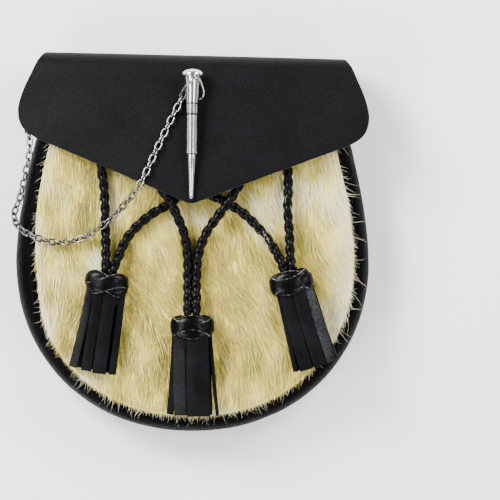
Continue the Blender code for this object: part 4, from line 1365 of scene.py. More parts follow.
@dataclass
class FurFront:
    """The front panel: a domed hide under a coat of flowing hair."""

    finishes: Finishes
    flap: "Flap"
    inset: float = 9.6
    top_y: float = 88.0
    corner: float = 6.0
    seat: float = 30.6
    hide: float = 1.8
    dome: float = 3.5
    dome_start: float = 7.0
    dome_reach: float = 55.0
    underlay: float = 1.3           # the dense under-hair, modelled as part of the hide
    covered: float = 16.0           # the hair goes on this far under the flap
    waist: float = 4.0              # the left edge is cut this much further in, round its middle
    middle_y: float = -12.0
    far: float = 60.0               # room of a hair that nothing holds back
    slope_step: float = 1.0

    def outline(self) -> Points:
        """The hide's cut edge."""
        edge = OUTLINE.panel(self.inset, self.top_y, self.corner, 200)
        moved = self.waist * bell((edge[:, 1] + 22.0) / 32.0) * ease(-edge[:, 0] / 90.0)
        return edge + np.stack([moved, np.zeros_like(moved)], axis=1)

    def underside(self, inside: Points) -> Points:
        """Height of the hide's underside at a distance inside its edge."""
        return self.seat + self.dome * ease((inside - self.dome_start) / self.dome_reach)

    def rings(self) -> tuple[Points, Points, Points]:
        """Rings from the hide's edge towards its middle.

        Returns:
            Points by ring, each one's distance inside the edge, and the way to the edge.
        """
        rim = self.outline()
        middle = np.array((0.0, self.middle_y))
        shares = 1 - np.linspace(0.0, 1.0, 46)[:-1] ** 1.15
        places = middle + (rim - middle)[None] * shares[:, None, None]
        inside, way = edge_distance(places.reshape(-1, 2), rim)
        inside, way = np.maximum(inside, 0.0).reshape(places.shape[:2]), way.reshape(places.shape)
        inside[0], way[0] = 0.0, way[1]
        return places, inside, way

    def build_hide(self) -> None:
        """The hide and its dense under-hair: a closed shell with an uneven upper face."""
        places, inside, _ = self.rings()
        rows, count = inside.shape
        low = self.underside(inside)
        x, y = places[..., 0], places[..., 1]
        uneven = 0.35 * (np.sin(x / 3.1 + 1.7 * np.sin(y / 9.0)) + np.sin(y / 5.3 + 1.9 * np.sin(x / 6.0)))
        high = low + self.hide + self.underlay * ease(inside / 4.0) * (1 + 0.4 * uneven)
        high[0] = low[0] + self.hide * 0.6
        points = np.concatenate([np.dstack([places, height]).reshape(-1, 3) for height in (high, low)])
        half, last = rows * count, (rows - 1) * count
        faces = [*grid_faces(rows, count, False, True), *grid_faces(rows, count, False, True, half)]
        faces += [(i, (i + 1) % count, half + (i + 1) % count, half + i) for i in range(count)]
        faces += [tuple(range(last, half)), tuple(range(half + last, 2 * half))]
        hide = finish_shape(piece_from("fur_underlay", points, faces, self.finishes.hide), 60.0)
        settle(hide, "fur", "fur_front")

    def flow(self, x: Points, y: Points) -> Points:
        """The way the hair lies, blended from the comb strokes and a little unruly.

        Args:
            x: places across.
            y: places up.

        Returns:
            Unit directions, x and y.
        """
        total, weights = np.zeros_like(x), np.zeros_like(x)
        for stroke in COMB:
            weight = 1 / ((x - stroke.x) ** 2 + (y - stroke.y) ** 2 + 30.0) ** 2
            total, weights = total + weight * stroke.turn, weights + weight
        unruly = 5.0 * np.sin(y / 8.0 + x / 11.0 + 2.0)
        turn = np.radians(total / weights + unruly + 5.5 * np.sin(x / 6.0 - y / 12.0))
        return np.stack([np.sin(turn), -np.cos(turn)], axis=-1)

    def cover(self, growth: Growth, x: Points, y: Points, inside: Points) -> tuple[Points, float | Points]:
        """How thickly a kind of hair grows at each place, and how white it is.

        Args:
            growth: the kind.
            x: places across.
            y: places up.
            inside: distance inside the hide's edge.

        Returns:
            The cover and the whiteness.
        """
        cover = 1.0 - ease((y - self.flap.edge_y(x) - self.covered) / 3.0)
        if growth is Growth.COAT:
            return cover * (1.0 + 0.6 * (1 - ease(inside / 8.0))), 0.5 * (1 - ease(inside / 6.0))
        if growth is Growth.TUFT:
            return np.max([spot.strength * bell(np.hypot(x - spot.x, y - spot.y) / spot.radius)
                           for spot in TUFTS], axis=0), 0.9
        right = ease((x - 50.0) / 35.0) * ease((y + 70.0) / 30.0)
        low = ease(-(y + 70.0) / 30.0)
        left = ease((-x - 50.0) / 35.0) * (1 - low)
        share = 0.2 + 0.4 * low + 0.6 * (low * bell((x + 1.0) / 20.0)) + 0.02 * left - 0.02 * right
        if growth is Growth.WILD:
            share = right * (0.3 + 1.4 * sum(bell((y - bunch) / 5.0) for bunch in BUNCHES))
        return cover * ((1 - ease((inside - 1.5) / 3.5)) * share), 0.85

    def skin(self, growth: Growth) -> bpy.types.Mesh:
        """The open surface that the hair grows from, with its flow, cover, room and colour stored on it.

        Args:
            growth: which hair grows on it.

        Returns:
            The mesh.
        """
        places, inside, outward = self.rings()
        rows, count = inside.shape
        height = self.underside(inside) + self.hide + 0.5 * self.underlay * ease(inside / 4.0)
        x, y = places[..., 0], places[..., 1]
        way = self.flow(x, y)
        after, _ = edge_distance((places + way * self.slope_step).reshape(-1, 2), self.outline())
        after = np.maximum(after, 0.0).reshape(inside.shape)
        slope = (self.underside(after) - self.underside(inside)) / self.slope_step
        cover, white = self.cover(growth, x, y, inside)
        if growth in (Growth.RIM, Growth.WILD):
            way = unit(0.6 * way + 0.7 * outward)
        shade = 0.3 * (1 - ease(inside / 7.0))
        # Painted shade and painted light go in here with the coat's own pale and golden patches.
        for patch in COAT_TONE_AND_LIGHT_PATCHES:
            away = ((x - patch.x) / patch.half_width) ** 2 + ((y - patch.y) / patch.half_height) ** 2
            shade += patch.shade * np.exp(-away)
        room = np.minimum(inside / np.maximum((way * outward).sum(-1), 0.06), self.far)
        margin = inside if growth is Growth.COAT else inside + self.far
        faces = [f[::-1] for f in grid_faces(rows, count, False, True)]
        faces.append(tuple(range((rows - 1) * count, rows * count)))
        mesh = mesh_from("skin", np.dstack([places, height]).reshape(-1, 3), faces=faces,
                         flow=unit(np.dstack([way, slope])), cover=np.clip(cover, 0.0, 2.0), room=room * MM,
                         margin=margin * MM, white=white + np.zeros_like(x), shade=shade)
        mesh.update()
        if mesh.polygons[0].normal.z < 0:
            mesh.flip_normals()
        return mesh

    def coat(self) -> NodeShape:
        """The tree that grows a layer of hair: roots, locks, bend, taper and tone."""
        shape = NodeShape("grow_hair", "Hairs to a square metre", "Length", "Width", "Lift", "Lock spacing",
                          "Lock pull", "Spill", "Stray", "Shade", "Seed")
        size, named = shape.size, shape.named
        roots = shape.add("GeometryNodeDistributePointsOnFaces", {
            "Mesh": shape.base, "Density": size["Hairs to a square metre"] * named("cover"),
            "Seed": size["Seed"]}, "Points", distribute_method="RANDOM")
        locks = shape.add("GeometryNodeDistributePointsOnFaces", {
            "Mesh": shape.base, "Distance Min": size["Lock spacing"], "Density Max": 400000.0, "Seed": 4},
            "Points", distribute_method="POISSON")
        place = shape.add("GeometryNodeInputPosition")
        near = shape.add("GeometryNodeSampleNearest", {"Geometry": locks, "Sample Position": place})
        lock, lock_tone = (shape.add("GeometryNodeSampleIndex", {
            "Geometry": locks, "Value": value, "Index": near}, data_type=kind, domain="POINT")
            for value, kind in ((place, "FLOAT_VECTOR"), (self.chance(shape, 19), "FLOAT")))
        stray = shape.add("FunctionNodeRandomValue", {0: (-1.0, -1.0, -1.0), 1: (1.0, 1.0, 1.0), "Seed": 31},
                          data_type="FLOAT_VECTOR")
        own, white = self.chance(shape, 77), named("white")
        # The layer's shade and the stored patch shade add painted shade and painted light to each hair's own tone.
        tone = shape.sum("MULTIPLY_ADD", own, 0.55, lock_tone * 0.45) + (size["Shade"] + named("shade"))
        tone = shape.sum("MAXIMUM", tone, white * 1.6)
        points = roots
        stored = {"root": place, "pull": lock - place, "stray": stray, "own": own,
                  "spread": self.chance(shape, size["Seed"]), "lock": lock_tone, "tone": tone,
                  "up": roots.beside("Normal")}
        for label, value in stored.items():
            points = shape.store(points, label, value)
        line = shape.add("GeometryNodeCurvePrimitiveLine", {"Start": (0.0, 0.0, 0.0), "End": (0.0, 0.0, MM)})
        bent = shape.add("GeometryNodeResampleCurve", {"Curve": line, "Count": 4})
        grown = shape.add("GeometryNodeInstanceOnPoints", {"Points": points, "Instance": bent})
        along = shape.add("GeometryNodeSplineParameter")
        # White hairs are kept out of the painted shade at the root.
        hair = shape.store(shape.add("GeometryNodeRealizeInstances", {0: grown}), "along",
                           shape.sum("MAXIMUM", along, named("white") * 0.6))
        own, room = named("own"), named("room")
        length = size["Length"] * shape.sum("MULTIPLY_ADD", named("spread"), 0.5, 0.68)
        length = shape.sum("MINIMUM", length, room + size["Spill"] * (own ** 2.2 + white * 0.2))
        raised = shape.sum("MULTIPLY_ADD", own, 0.35, 0.25) + named("lock") * 0.7
        settled = shape.sum("MINIMUM", 1.0, shape.sum("MULTIPLY_ADD", room, 1 / (14 * MM), 0.4))
        rise = along ** 0.55 * (1.0 - along * 0.5)
        reach = shape.sum("MINIMUM", length * size["Stray"],
                          shape.sum("MULTIPLY_ADD", named("margin"), 0.6, 0.2 * MM))
        vector = {name: named(name, "FLOAT_VECTOR") for name in ("root", "flow", "up", "pull", "stray")}
        target = vector["root"] + vector["flow"] * (length * along)
        for part in (vector["up"] * (size["Lift"] * rise * (raised * settled)),
                     vector["pull"] * (size["Lock pull"] * along ** 1.4),
                     vector["stray"] * (reach * (along * along)) * (1.0, 1.0, 0.25)):
            target = target + part
        laid = shape.add("GeometryNodeSetPosition", {"Geometry": hair, "Position": target})
        ring = shape.add("GeometryNodeCurvePrimitiveCircle", {"Resolution": 3, "Radius": 0.5})
        fine = shape.sum("MINIMUM", 1.0, shape.sum("MULTIPLY_ADD", room, 1 / (9 * MM), 0.4))
        taper = size["Width"] * fine * (1.0 - shape.sum("MULTIPLY", 0.86, along ** 1.6))
        return shape.end(shape.add("GeometryNodeCurveToMesh", {
            "Curve": laid, "Profile Curve": ring, "Scale": taper, "Fill Caps": True}))

    @staticmethod
    def chance(shape: NodeShape, seed: Any) -> Value:
        """A random number from 0 to 1 for each point."""
        return shape.add("FunctionNodeRandomValue", {2: 0.0, 3: 1.0, "Seed": seed}, 1, data_type="FLOAT")

    def build(self) -> None:
        """Makes the hide and each layer of hair."""
        self.build_hide()
        shape = self.coat()
        skins = {growth: self.skin(growth) for growth in Growth}
        for layer in FUR_LAYERS:
            hair = shape.run(layer.name, skins[layer.growth].copy(), self.finishes.fur,
                             Hairs_to_a_square_metre=layer.density / MM ** 2, Length=layer.length * MM,
                             Width=layer.width * MM, Lift=layer.lift * MM, Lock_spacing=layer.lock * MM,
                             Lock_pull=layer.pull, Spill=layer.spill * MM, Stray=layer.stray,
                             Shade=layer.shade, Seed=layer.seed)
            for spare in ("root", "pull", "stray", "spread", "own", "lock", "up", "flow", "cover", "room",
                          "margin", "white", "shade"):
                found = hair.data.attributes.get(spare)
                if found:
                    hair.data.attributes.remove(found)
            settle(hair, "fur", "fur_front")


# ---- flap ------------------------------------------------------------------------------------------
class FoldRow(NamedTuple):
    """A row of the fold: height up the pouch, share of the way from back to front, and half width."""

    y: float
    rise: float
    half_width: float


class EdgePoint(NamedTuple):
    """A point of the flap's lower edge."""

    x: float
    y: float


FOLD = tuple(FoldRow(*row) for row in (
    (92.0, 0.0, 74.0), (98.0, 0.0, 77.8), (103.0, 0.0, 81.0), (107.6, 0.04, 85.2), (110.5, 0.12, 88.0),
    (112.8, 0.23, 89.8), (114.0, 0.34, 91.0), (114.6, 0.56, 92.7), (112.8, 0.80, 94.8), (108.6, 0.95, 98.0),
    (102.0, 1.0, 101.0)))
FLAP_EDGE = tuple(EdgePoint(*row) for row in (
    (0.0, 23.9), (2.5, 24.2), (5.0, 25.3), (10.0, 27.3), (20.0, 31.4), (35.0, 37.4), (49.0, 43.1),
    (64.0, 49.0), (79.0, 54.9), (94.0, 60.8), (98.0, 62.6), (101.0, 64.4), (103.6, 66.3), (105.6, 68.5),
    (107.0, 70.9), (107.9, 73.4), (108.4, 76.4), (108.6, 79.6)))


@dataclass
class Flap:
    """One sheet of leather: inside the back's top edge, over the fold, and down to a point."""

    finishes: Finishes
    thickness: float = 2.5
    turn: float = -1.4
    pivot_y: float = 45.0
    front_y: float = 102.0
    front_z: float = 41.5
    tip_z: float = 52.5
    droop: float = 11.0
    droop_power: float = 2.2
    half_width: float = 108.6
    side_bulge: float = 1.5
    edge_round: float = 0.55

    def front_height(self, x: Any, y: Any) -> Any:
        """Middle of the leather on the flap's front."""
        down = (self.front_y - y) / (self.front_y - FLAP_EDGE[0].y)
        centre = self.front_z + (self.tip_z - self.front_z) * down
        return centre - self.droop * (np.abs(x) / self.half_width) ** self.droop_power

    def edge_y(self, x: Any) -> Any:
        """Height of the flap's lower edge at a place across."""
        return np.interp(np.abs(x), [p.x for p in FLAP_EDGE], [p.y for p in FLAP_EDGE])

    def sheet(self) -> Points:
        """The middle of the leather, as rows of points from the back to the lower edge."""
        half = smooth_curve([(p.x, p.y, 0.0) for p in FLAP_EDGE], 2.2)[:, :2]
        edge = np.concatenate([half[:0:-1] * (-1, 1), half])
        back_z = LEATHER + GAP + self.thickness / 2
        rows = []
        for row in FOLD:
            x = edge[:, 0] / self.half_width * row.half_width
            front = self.front_height(x, self.front_y)
            rows.append(np.stack([x, np.full(len(x), row.y), back_z + (front - back_z) * row.rise], axis=1))
        for share in np.linspace(0.0, 1.0, 26)[1:]:
            start = edge[:, 0] / self.half_width * FOLD[-1].half_width
            x = start + (edge[:, 0] - start) * (1 - (1 - share) ** self.side_bulge)
            y = self.front_y + (edge[:, 1] - self.front_y) * share
            rows.append(np.stack([x, y, self.front_height(x, y)], axis=1))
        coarse = np.array(rows)
        fine = []
        for column in range(coarse.shape[1]):
            bend = smooth_curve(coarse[:len(FOLD), column], 2.0)
            share = np.linspace(0.0, len(bend) - 1, 22)
            bend = np.stack([np.interp(share, np.arange(len(bend)), line) for line in bend.T], axis=1)
            fine.append(np.concatenate([bend, coarse[len(FOLD):, column]]))
        sheet = np.array(fine).transpose(1, 0, 2)
        x, y = sheet[..., 0], sheet[..., 1]
        sheet[..., 2] += ease((self.front_y - y) / 20.0) * (
            0.45 * np.sin(x / 27.0 + 0.6) * np.sin(y / 21.0) + 0.22 * np.sin(x / 11.0 - y / 17.0))
        return sheet

    def turned(self, points: Points) -> Points:
        """Turns points with the flap, which sits slightly askew."""
        pivot = np.array((0.0, self.pivot_y, 0.0))
        return (points - pivot) @ np.array(Matrix.Rotation(radians(self.turn), 3, "Z")).T + pivot

    def build(self) -> None:
        """Makes the sheet, its thickness and its slightly rounded cut edge."""
        sheet = self.turned(self.sheet())
        flap = piece_from("flap_leather", sheet.reshape(-1, 3), grid_faces(*sheet.shape[:2]),
                          self.finishes.flap, self.finishes.dark_edge)
        thickened(flap, self.thickness, 0.0, use_even_offset=True, material_offset_rim=1)
        settle(finish_shape(rounded(flap, self.edge_round, 60.0), 50.0), "smooth_leather", "flap")


# ---- pin, post and ring ----------------------------------------------------------------------------
class PinPoint(NamedTuple):
    """A point of the pin's profile."""

    along: float
    radius: float


PIN_PROFILE = tuple(PinPoint(*row) for row in (
    (4.9, 6.75), (5.3, 6.4), (5.4, 5.3), (5.45, 4.9), (12.0, 4.35), (22.0, 3.75), (22.1, 3.45), (22.6, 3.45),
    (22.7, 3.68), (28.5, 3.62), (28.6, 3.2), (29.35, 3.2), (29.45, 3.42), (37.4, 3.36), (37.5, 3.15),
    (37.8, 3.15), (37.9, 3.48), (52.3, 3.42), (52.4, 3.62), (53.3, 3.62), (53.45, 3.5), (53.55, 2.55),
    (54.0, 2.65), (66.0, 2.05), (78.8, 1.4), (80.2, 1.25), (80.9, 1.0), (81.3, 0.5)))


@dataclass
class Pin:
    """A turned steel pin with a domed head, held on the flap by a hidden stud."""

    finishes: Finishes
    head: tuple[float, float, float] = (0.4, 107.6, 49.2)
    tip: tuple[float, float, float] = (-0.5, 26.3, 55.2)
    sides: int = 64
    dome_start: float = 0.8
    dome: float = 3.6
    dome_radius: float = 6.8
    grooves: tuple[float, ...] = (22.1, 28.6, 53.55)   # where a dark finish is painted shade in the grooves and under the step
    end: float = 81.4

    def axis(self, along: float) -> Points:
        """A point on the pin's axis."""
        head, tip = Vector(self.head), Vector(self.tip)
        return np.array(head + (tip - head).normalized() * along)

    def build(self) -> None:
        """Turns the profile and dresses the stud."""
        arc = [PinPoint(self.dome_start + self.dome * (1 - cos(t)), self.dome_radius * sin(t))
               for t in np.linspace(0.0, pi / 2, 12)[1:]]
        rows = [*arc, *PIN_PROFILE]
        turn = (Vector(self.tip) - Vector(self.head)).to_track_quat("-Z", "Y").to_matrix()
        axes = np.array([turn @ Vector((1, 0, 0)), turn @ Vector((0, 1, 0))])
        rings = [self.axis(row.along) + circle(row.radius, self.sides) @ axes for row in rows]
        count, sides = len(rows), self.sides
        points = [*np.concatenate(rings), self.axis(self.dome_start), self.axis(self.end)]
        top, last = count * sides, (count - 1) * sides
        faces = grid_faces(count, sides, False, True)
        faces += [(top, (i + 1) % sides, i) for i in range(sides)]
        faces += [(top + 1, last + i, last + (i + 1) % sides) for i in range(sides)]
        # Faces in the grooves and under the step take the dark finish, which is painted shade.
        painted_shade_slots = [int(rows[min(f // sides, count - 1)].along in self.grooves) for f in range(len(faces))]
        pin = piece_from("turned_pin", points, faces, self.finishes.steel, self.finishes.groove_shade, slots=painted_shade_slots)
        settle(finish_shape(pin, 28.0), "bright_steel", "pin")
        for slot in frame["nodes"]["pin_post"].material_slots:
            slot.material = self.finishes.steel


RING_BENDS = route(                 # from the lower left corner over the neck's front, then back under it
    (-6.6, 91.4, 48.3), (-5.2, 94.3, 50.9), (-1.7, 98.3, 54.7), (1.7, 101.0, 55.1), (4.4, 100.5, 53.6),
    (6.3, 96.2, 50.7), (7.2, 91.6, 48.1), (5.6, 88.5, 46.5), (0.4, 88.2, 45.6), (-4.8, 88.7, 46.4))


@dataclass
class PinRing:
    """A bent wire ring that hangs round the pin's neck: over it in front, under it behind."""

    finishes: Finishes
    wire: float = 1.6
    sides: int = 12

    def build(self) -> None:
        """Carries a round wire along the bends."""
        line = smooth_curve([*RING_BENDS[-3:], *RING_BENDS, *RING_BENDS[:3]], 0.05)
        away = np.linalg.norm(line - RING_BENDS[0], axis=1)
        half = len(line) // 2
        start, end = away[:half].argmin(), half + away[half:].argmin()
        path = line[np.linspace(start, end, 12 * len(RING_BENDS) + 1).astype(int)[:-1]]
        ahead = around(path)
        outward = square_to(path - path.mean(axis=0), ahead)
        ring = bent_wire("pin_wire_ring", path, outward, np.cross(ahead, outward), self.wire, self.sides,
                         self.finishes.warm_nickel)
        settle(ring, "nickel_wire", "pin_ring")


# ---- chain -----------------------------------------------------------------------------------------
CHAIN_ROUTE = route(
    (-5.1, 93.1, 48.1), (-6.6, 87.6, 47.9), (-11.0, 79.5, 48.4), (-22.0, 56.5, 51.3), (-31.0, 37.2, 53.6),
    (-36.8, 28.6, 52.6), (-41.8, 22.9, 50.4), (-47.1, 17.3, 48.0), (-53.0, 11.8, 46.3), (-61.5, 6.0, 43.2),
    (-68.4, 2.2, 40.6), (-77.1, 0.0, 39.6), (-85.0, -0.4, 38.4), (-93.3, 1.5, 37.6), (-99.6, 4.1, 36.6),
    (-104.6, 6.9, 32.8), (-109.3, 11.0, 26.8), (-110.9, 16.1, 23.4), (-109.6, 21.2, 23.0),
    (-107.1, 27.3, 23.9), (-105.2, 35.3, 24.4), (-102.9, 45.5, 24.6), (-101.2, 54.5, 24.0),
    (-101.2, 63.0, 21.8), (-102.4, 70.4, 18.2), (-103.1, 76.6, 13.8), (-101.0, 82.0, 9.4))


@dataclass
class Chain:
    """A fine cable chain: oval wire links, each turned against the next."""

    finishes: Finishes
    wire: float = 1.3
    length: float = 6.85
    width: float = 4.9
    overlap: float = 0.18
    roll: float = 25.0
    last_roll: float = 90.0
    twist_power: int = 6
    even_roll: float = 20.0         # turned this much more where it hangs at the side

    def links(self) -> NodeShape:
        """The tree that bends one link from wire and sets it at every point."""
        shape = NodeShape("set_links", "Link length", "Link width", "Wire")
        size = shape.size
        wide = size["Link width"] - size["Wire"]
        oval = shape.add("GeometryNodeCurvePrimitiveQuadrilateral", {
            "Width": size["Link length"] - size["Wire"], "Height": wide})
        bent = shape.add("GeometryNodeFilletCurve", {"Curve": oval, "Count": 5, "Radius": wide * 0.5,
                                                     "Limit Radius": True}, mode="POLY")
        section = shape.add("GeometryNodeCurvePrimitiveCircle", {
            "Resolution": 8, "Radius": size["Wire"] * 0.5})
        return shape.end_at_points(shape.add("GeometryNodeCurveToMesh", {
            "Curve": bent, "Profile Curve": section}))

    def build(self) -> None:
        """Works out each link's place and turn, and runs the tree."""
        path = resample(smooth_curve(CHAIN_ROUTE, 0.25), self.length - 2 * self.wire + self.overlap)
        last = len(path) - 2
        twist = self.last_roll - self.roll - 90.0 * (last % 2)
        places, turns = [], []
        for index in range(len(path) - 1):
            start, end = Vector(path[index]), Vector(path[index + 1])
            along = (end - start).normalized()
            level = Vector((0, 0, 1)).cross(along).normalized()
            share = index / last
            hung = self.even_roll * ease((share - 0.6) / 0.1) * (1 - ease((share - 0.85) / 0.1))
            roll = radians(self.roll + hung + 90.0 * (index % 2) + twist * share ** self.twist_power)
            across = level * cos(roll) + along.cross(level) * sin(roll)
            matrix = Matrix((along, across, along.cross(across))).transposed()
            places.append((start + end) / 2)
            turns.append(tuple(matrix.to_euler()))
        line = mesh_from("link_places", places, turn=np.array(turns))
        chain = self.links().run("cable_chain", line, self.finishes.nickel, Wire=self.wire * MM,
                                 Link_length=self.length * MM, Link_width=self.width * MM)
        settle(chain, "nickel_wire", "chain")


# ---- knots and tassels -----------------------------------------------------------------------------
class TasselPlace(NamedTuple):
    """Where a knot's middle lies, how far its tassel leans, and how high its strips end."""

    side: str
    x: float
    y: float
    z: float
    lean: float
    rest: float
    strap: float                    # width of the knot's strap
    front: float                    # where in its weave the strap crosses the knot's front, in degrees
    over: float                     # where in its weave it lies outermost
    sweep: float                    # how far the lower strips' ends drift to the right


class StripRow(NamedTuple):
    """One strip: its place in the head, its width and length, and where its end lies."""

    across: float
    lift: float
    width: float
    length: float
    splay: float
    layer: float
    twist: float
    painted_sheen: int = 0                   # 0 the plain strap leather, 1 and 2 lighter copies of it that are painted sheen, brighter at 2


TASSELS = (
    TasselPlace("left", -52.5, -25.6, 47.2, -9.0, 38.2, 8.4, 90.0, 60.0, 0.0),
    TasselPlace("middle", 0.0, -52.6, 48.0, 0.0, 37.0, 9.0, 0.0, 30.0, 0.3),
    TasselPlace("right", 61.1, -25.0, 47.2, 13.0, 38.2, 10.2, 165.0, 190.0, 2.4),
)
LOWER_STRIPS = (
    StripRow(-8.35, -2.2, 3.3, 46.8, -1.2, 0.2, 0.0),
    StripRow(-2.45, -3.2, 8.1, 46.8, 0.0, 0.0, 0.0),
    StripRow(4.4, -3.4, 5.2, 47.2, 0.1, 0.0, 0.0),
    StripRow(8.8, -2.6, 5.2, 47.2, 0.6, 0.1, 0.0),
)
UPPER_STRIPS = {
    "left": (
        StripRow(-9.5, 1.4, 5.0, 47.2, -3.3, 1.0, 14.0, 1),
        StripRow(-4.2, 3.2, 6.4, 48.1, -0.5, 2.3, 2.0),
        StripRow(3.1, 3.3, 8.4, 48.6, 0.1, 2.4, -2.0),
        StripRow(10.4, 0.6, 4.4, 48.0, 1.5, 0.9, -20.0),
    ),
    "middle": (
        StripRow(-10.5, -0.6, 4.2, 46.8, -2.9, 0.6, 24.0),
        StripRow(-7.75, 1.9, 8.0, 47.4, 0.5, 1.5, 4.0, 1),
        StripRow(3.35, 3.4, 14.4, 48.0, 0.35, 2.5, 0.0),
        StripRow(11.2, -0.2, 2.4, 47.4, 4.6, 1.0, -60.0),
    ),
    "right": (
        StripRow(-8.9, 0.4, 3.4, 47.3, -0.2, 0.6, 30.0),
        StripRow(-4.7, 2.6, 8.4, 47.6, 1.9, 2.0, 4.0),
        StripRow(3.1, 3.4, 8.4, 47.2, 2.9, 2.4, -3.0),
        StripRow(9.5, 2.2, 6.2, 46.0, 4.3, 1.9, -26.0, 2),
        StripRow(12.1, -0.8, 2.6, 45.0, 4.9, 0.6, -66.0),
    ),
}
TURNS = np.arange(40) * 2 * pi / 40             # round a knot's core and a tassel's head


@dataclass
class Knot:
    """A plaited knot: one polished strap goes round twice, over and under itself."""

    finishes: Finishes
    place: TasselPlace
    half_length: float = 7.2
    half_width: float = 13.9
    flat: float = 0.55
    rounding: float = 0.24
    leads: int = 2
    bights: int = 3
    strap_thickness: float = 1.7
    weave: float = 0.5
    steps: int = 210
    crown: tuple[tuple[float, float], ...] = ((1.0, 0.5), (0.96, 0.8), (0.7, 0.93), (0.35, 0.98))

    def frame(self) -> Matrix:
        """A matrix whose -Y runs down the tassel."""
        return (Matrix.Translation((self.place.x, self.place.y, self.place.z))
                @ Matrix.Rotation(radians(self.place.lean), 4, "Z"))

    def full(self, height: Points) -> Points:
        """How wide the barrel is at a height, as a share of its widest."""
        return 1 - self.rounding * np.minimum(np.abs(height / self.half_length), 1.05) ** 3.5

    def barrel(self, turn: Points, height: Points, inset: float | Points) -> Points:
        """Points on the knot's barrel.

        Args:
            turn: angle round the tassel's axis.
            height: place along it.
            inset: distance inside the barrel's surface.

        Returns:
            Points in the knot's own frame.
        """
        full = self.full(height)
        across = (self.half_width * full - inset) * np.cos(turn)
        deep = (self.half_width * self.flat * full - inset) * np.sin(turn)
        return np.stack([across, height, deep], axis=-1)

    def even_turn(self, share: Points) -> Points:
        """Angles that move evenly along the barrel's oval."""
        turns = np.linspace(0.0, 2 * pi, 721)
        run = run_along(self.barrel(turns, np.zeros_like(turns), 0.0))
        whole = np.floor(share)
        return np.interp(share - whole, run / run[-1], turns) + whole * 2 * pi

    def strap(self) -> tuple[Points, Faces, list[int]]:
        """The strap, as a closed loop.

        Returns:
            Its points, its faces, and the material index of each face.
        """
        t = np.arange(self.steps) / self.steps * self.leads
        phase = 2 * pi * t * self.bights / self.leads + radians(self.place.front)
        turn = self.even_turn(t + 0.25)
        height = (self.half_length - self.place.strap / 2 + 0.2) * np.cos(phase)
        depth = self.strap_thickness / 2 + self.weave * (1 - np.cos(phase - radians(self.place.over)))
        middle = self.barrel(turn, height, depth)
        ahead = around(middle)
        outer = square_to(self.barrel(turn, height, depth - 0.5) - middle, ahead)
        half, thick = self.place.strap / 2, self.strap_thickness / 2
        rise = [(-x, y) for x, y in self.crown]
        fall = [*reversed(self.crown), (1.0, -0.6), (0.8, -1.0), (-0.8, -1.0)]
        section = np.array([(-1.0, -0.6), *rise, (0.0, 1.0), *fall]) * (half, thick)
        rings = tube_rings(middle, np.cross(outer, ahead), outer, section)
        rings[..., ::2] *= (self.full(rings[..., 1]) / self.full(height)[:, None])[..., None]
        points, faces = swept(rings, closed=True)
        raw = (1, 8)                # the faces of the section that are the strap's cut edges
        return points, faces, [int(i % len(section) in raw) for i in range(len(faces))]

    def build(self) -> None:
        """Joins the strap and a plain core, and ties them to the pouch."""
        points, faces, slots = self.strap()
        heights = self.half_length * 0.93 * np.sin(np.linspace(-1.0, 1.0, 11) * pi / 2)
        core, extra = swept(np.array([self.barrel(TURNS, np.full(len(TURNS), h), 2.0) for h in heights]),
                            start=len(points))
        knot = piece_from("plaited_knot_" + self.place.side, placed(self.frame(), [*points, *core]),
                          [*faces, *extra], self.finishes.polished, self.finishes.edge,
                          slots=slots + [0] * len(extra))
        settle(finish_shape(knot, 50.0), "glossy_leather", "knot_" + self.place.side)


@dataclass
class Tassel:
    """Flat strips of matt leather that hang from a short head under the knot."""

    finishes: Finishes
    knot: Knot
    head_length: float = 5.0
    head_half_width: float = 9.6
    head_half_depth: float = 2.6
    strip_thickness: float = 1.5
    round_off: float = 0.25
    tuck: float = 2.4               # how far a strip runs up inside the knot
    fall: float = 1.25
    spread: float = 1.3
    stations: int = 22

    def strip(self, row: StripRow, number: int, start: int) -> tuple[Points, Faces]:
        """One strip: a thin bar with rounded edges that bends, sways and twists a little.

        Args:
            row: its sizes.
            number: its number, which varies its sway.
            start: index of its first point.

        Returns:
            Its points and faces.
        """
        place = self.knot.place
        top, bottom = -self.knot.half_length + self.tuck, -self.knot.half_length - row.length
        share = np.linspace(0.0, 1.0, self.stations)
        sway = 0.28 * np.sin(share * (2.6 + 0.5 * (number % 3)) + number * 1.9) * share
        x = row.across + row.splay * share ** self.spread + sway
        z = row.lift + (place.rest + row.layer - place.z - row.lift) * share ** self.fall
        path = np.stack([x, top + (bottom - top) * share, z], axis=1)
        turn = np.radians(row.twist * ease(share * 1.4))
        ahead = unit(np.gradient(path, axis=0))
        side = square_to(np.stack([np.cos(turn), np.zeros_like(turn), np.sin(turn)], axis=1), ahead)
        half, thick = row.width / 2, self.strip_thickness / 2
        flat, low = half - self.round_off, thick - self.round_off
        section = np.array([(-half, -low), (-flat, -thick), (flat, -thick), (half, -low), (half, low),
                            (flat, thick), (0.0, thick + 0.08), (-flat, thick), (-half, low)])
        scale = 1.0 - 0.05 * (1 - ease(share * 2.0))
        return swept(tube_rings(path, side, np.cross(side, ahead), section, scale), start=start)

    def build(self) -> None:
        """Joins the head and its strips."""
        place, high = self.knot.place, -self.knot.half_length - GAP
        rings = [np.stack([self.head_half_width * share * np.cos(TURNS), np.full(len(TURNS), high - down),
                           self.head_half_depth * share * np.sin(TURNS)], axis=1)
                 for down, share in ((0.0, 0.8), (0.4, 0.9), (1.2, 1.0), (self.head_length, 0.97))]
        head, faces = swept(np.array(rings))
        points, slots = [*head], [0] * len(faces)
        lower = [row._replace(splay=row.splay + place.sweep) for row in LOWER_STRIPS]
        for number, row in enumerate((*lower, *UPPER_STRIPS[place.side])):
            strip, some = self.strip(row, number, len(points))
            points += [*strip]
            faces += some
            # The second and third finishes are painted sheen on the strips that face the lamps.
            slots += [row.painted_sheen] * len(some)
        tassel = piece_from("leather_tassel_" + place.side, placed(self.knot.frame(), points), faces,
                            self.finishes.strap, self.finishes.lit_strap, self.finishes.brightly_lit_strap, slots=slots)
        settle(finish_shape(tassel, 50.0), "smooth_leather", "tassel_" + place.side)


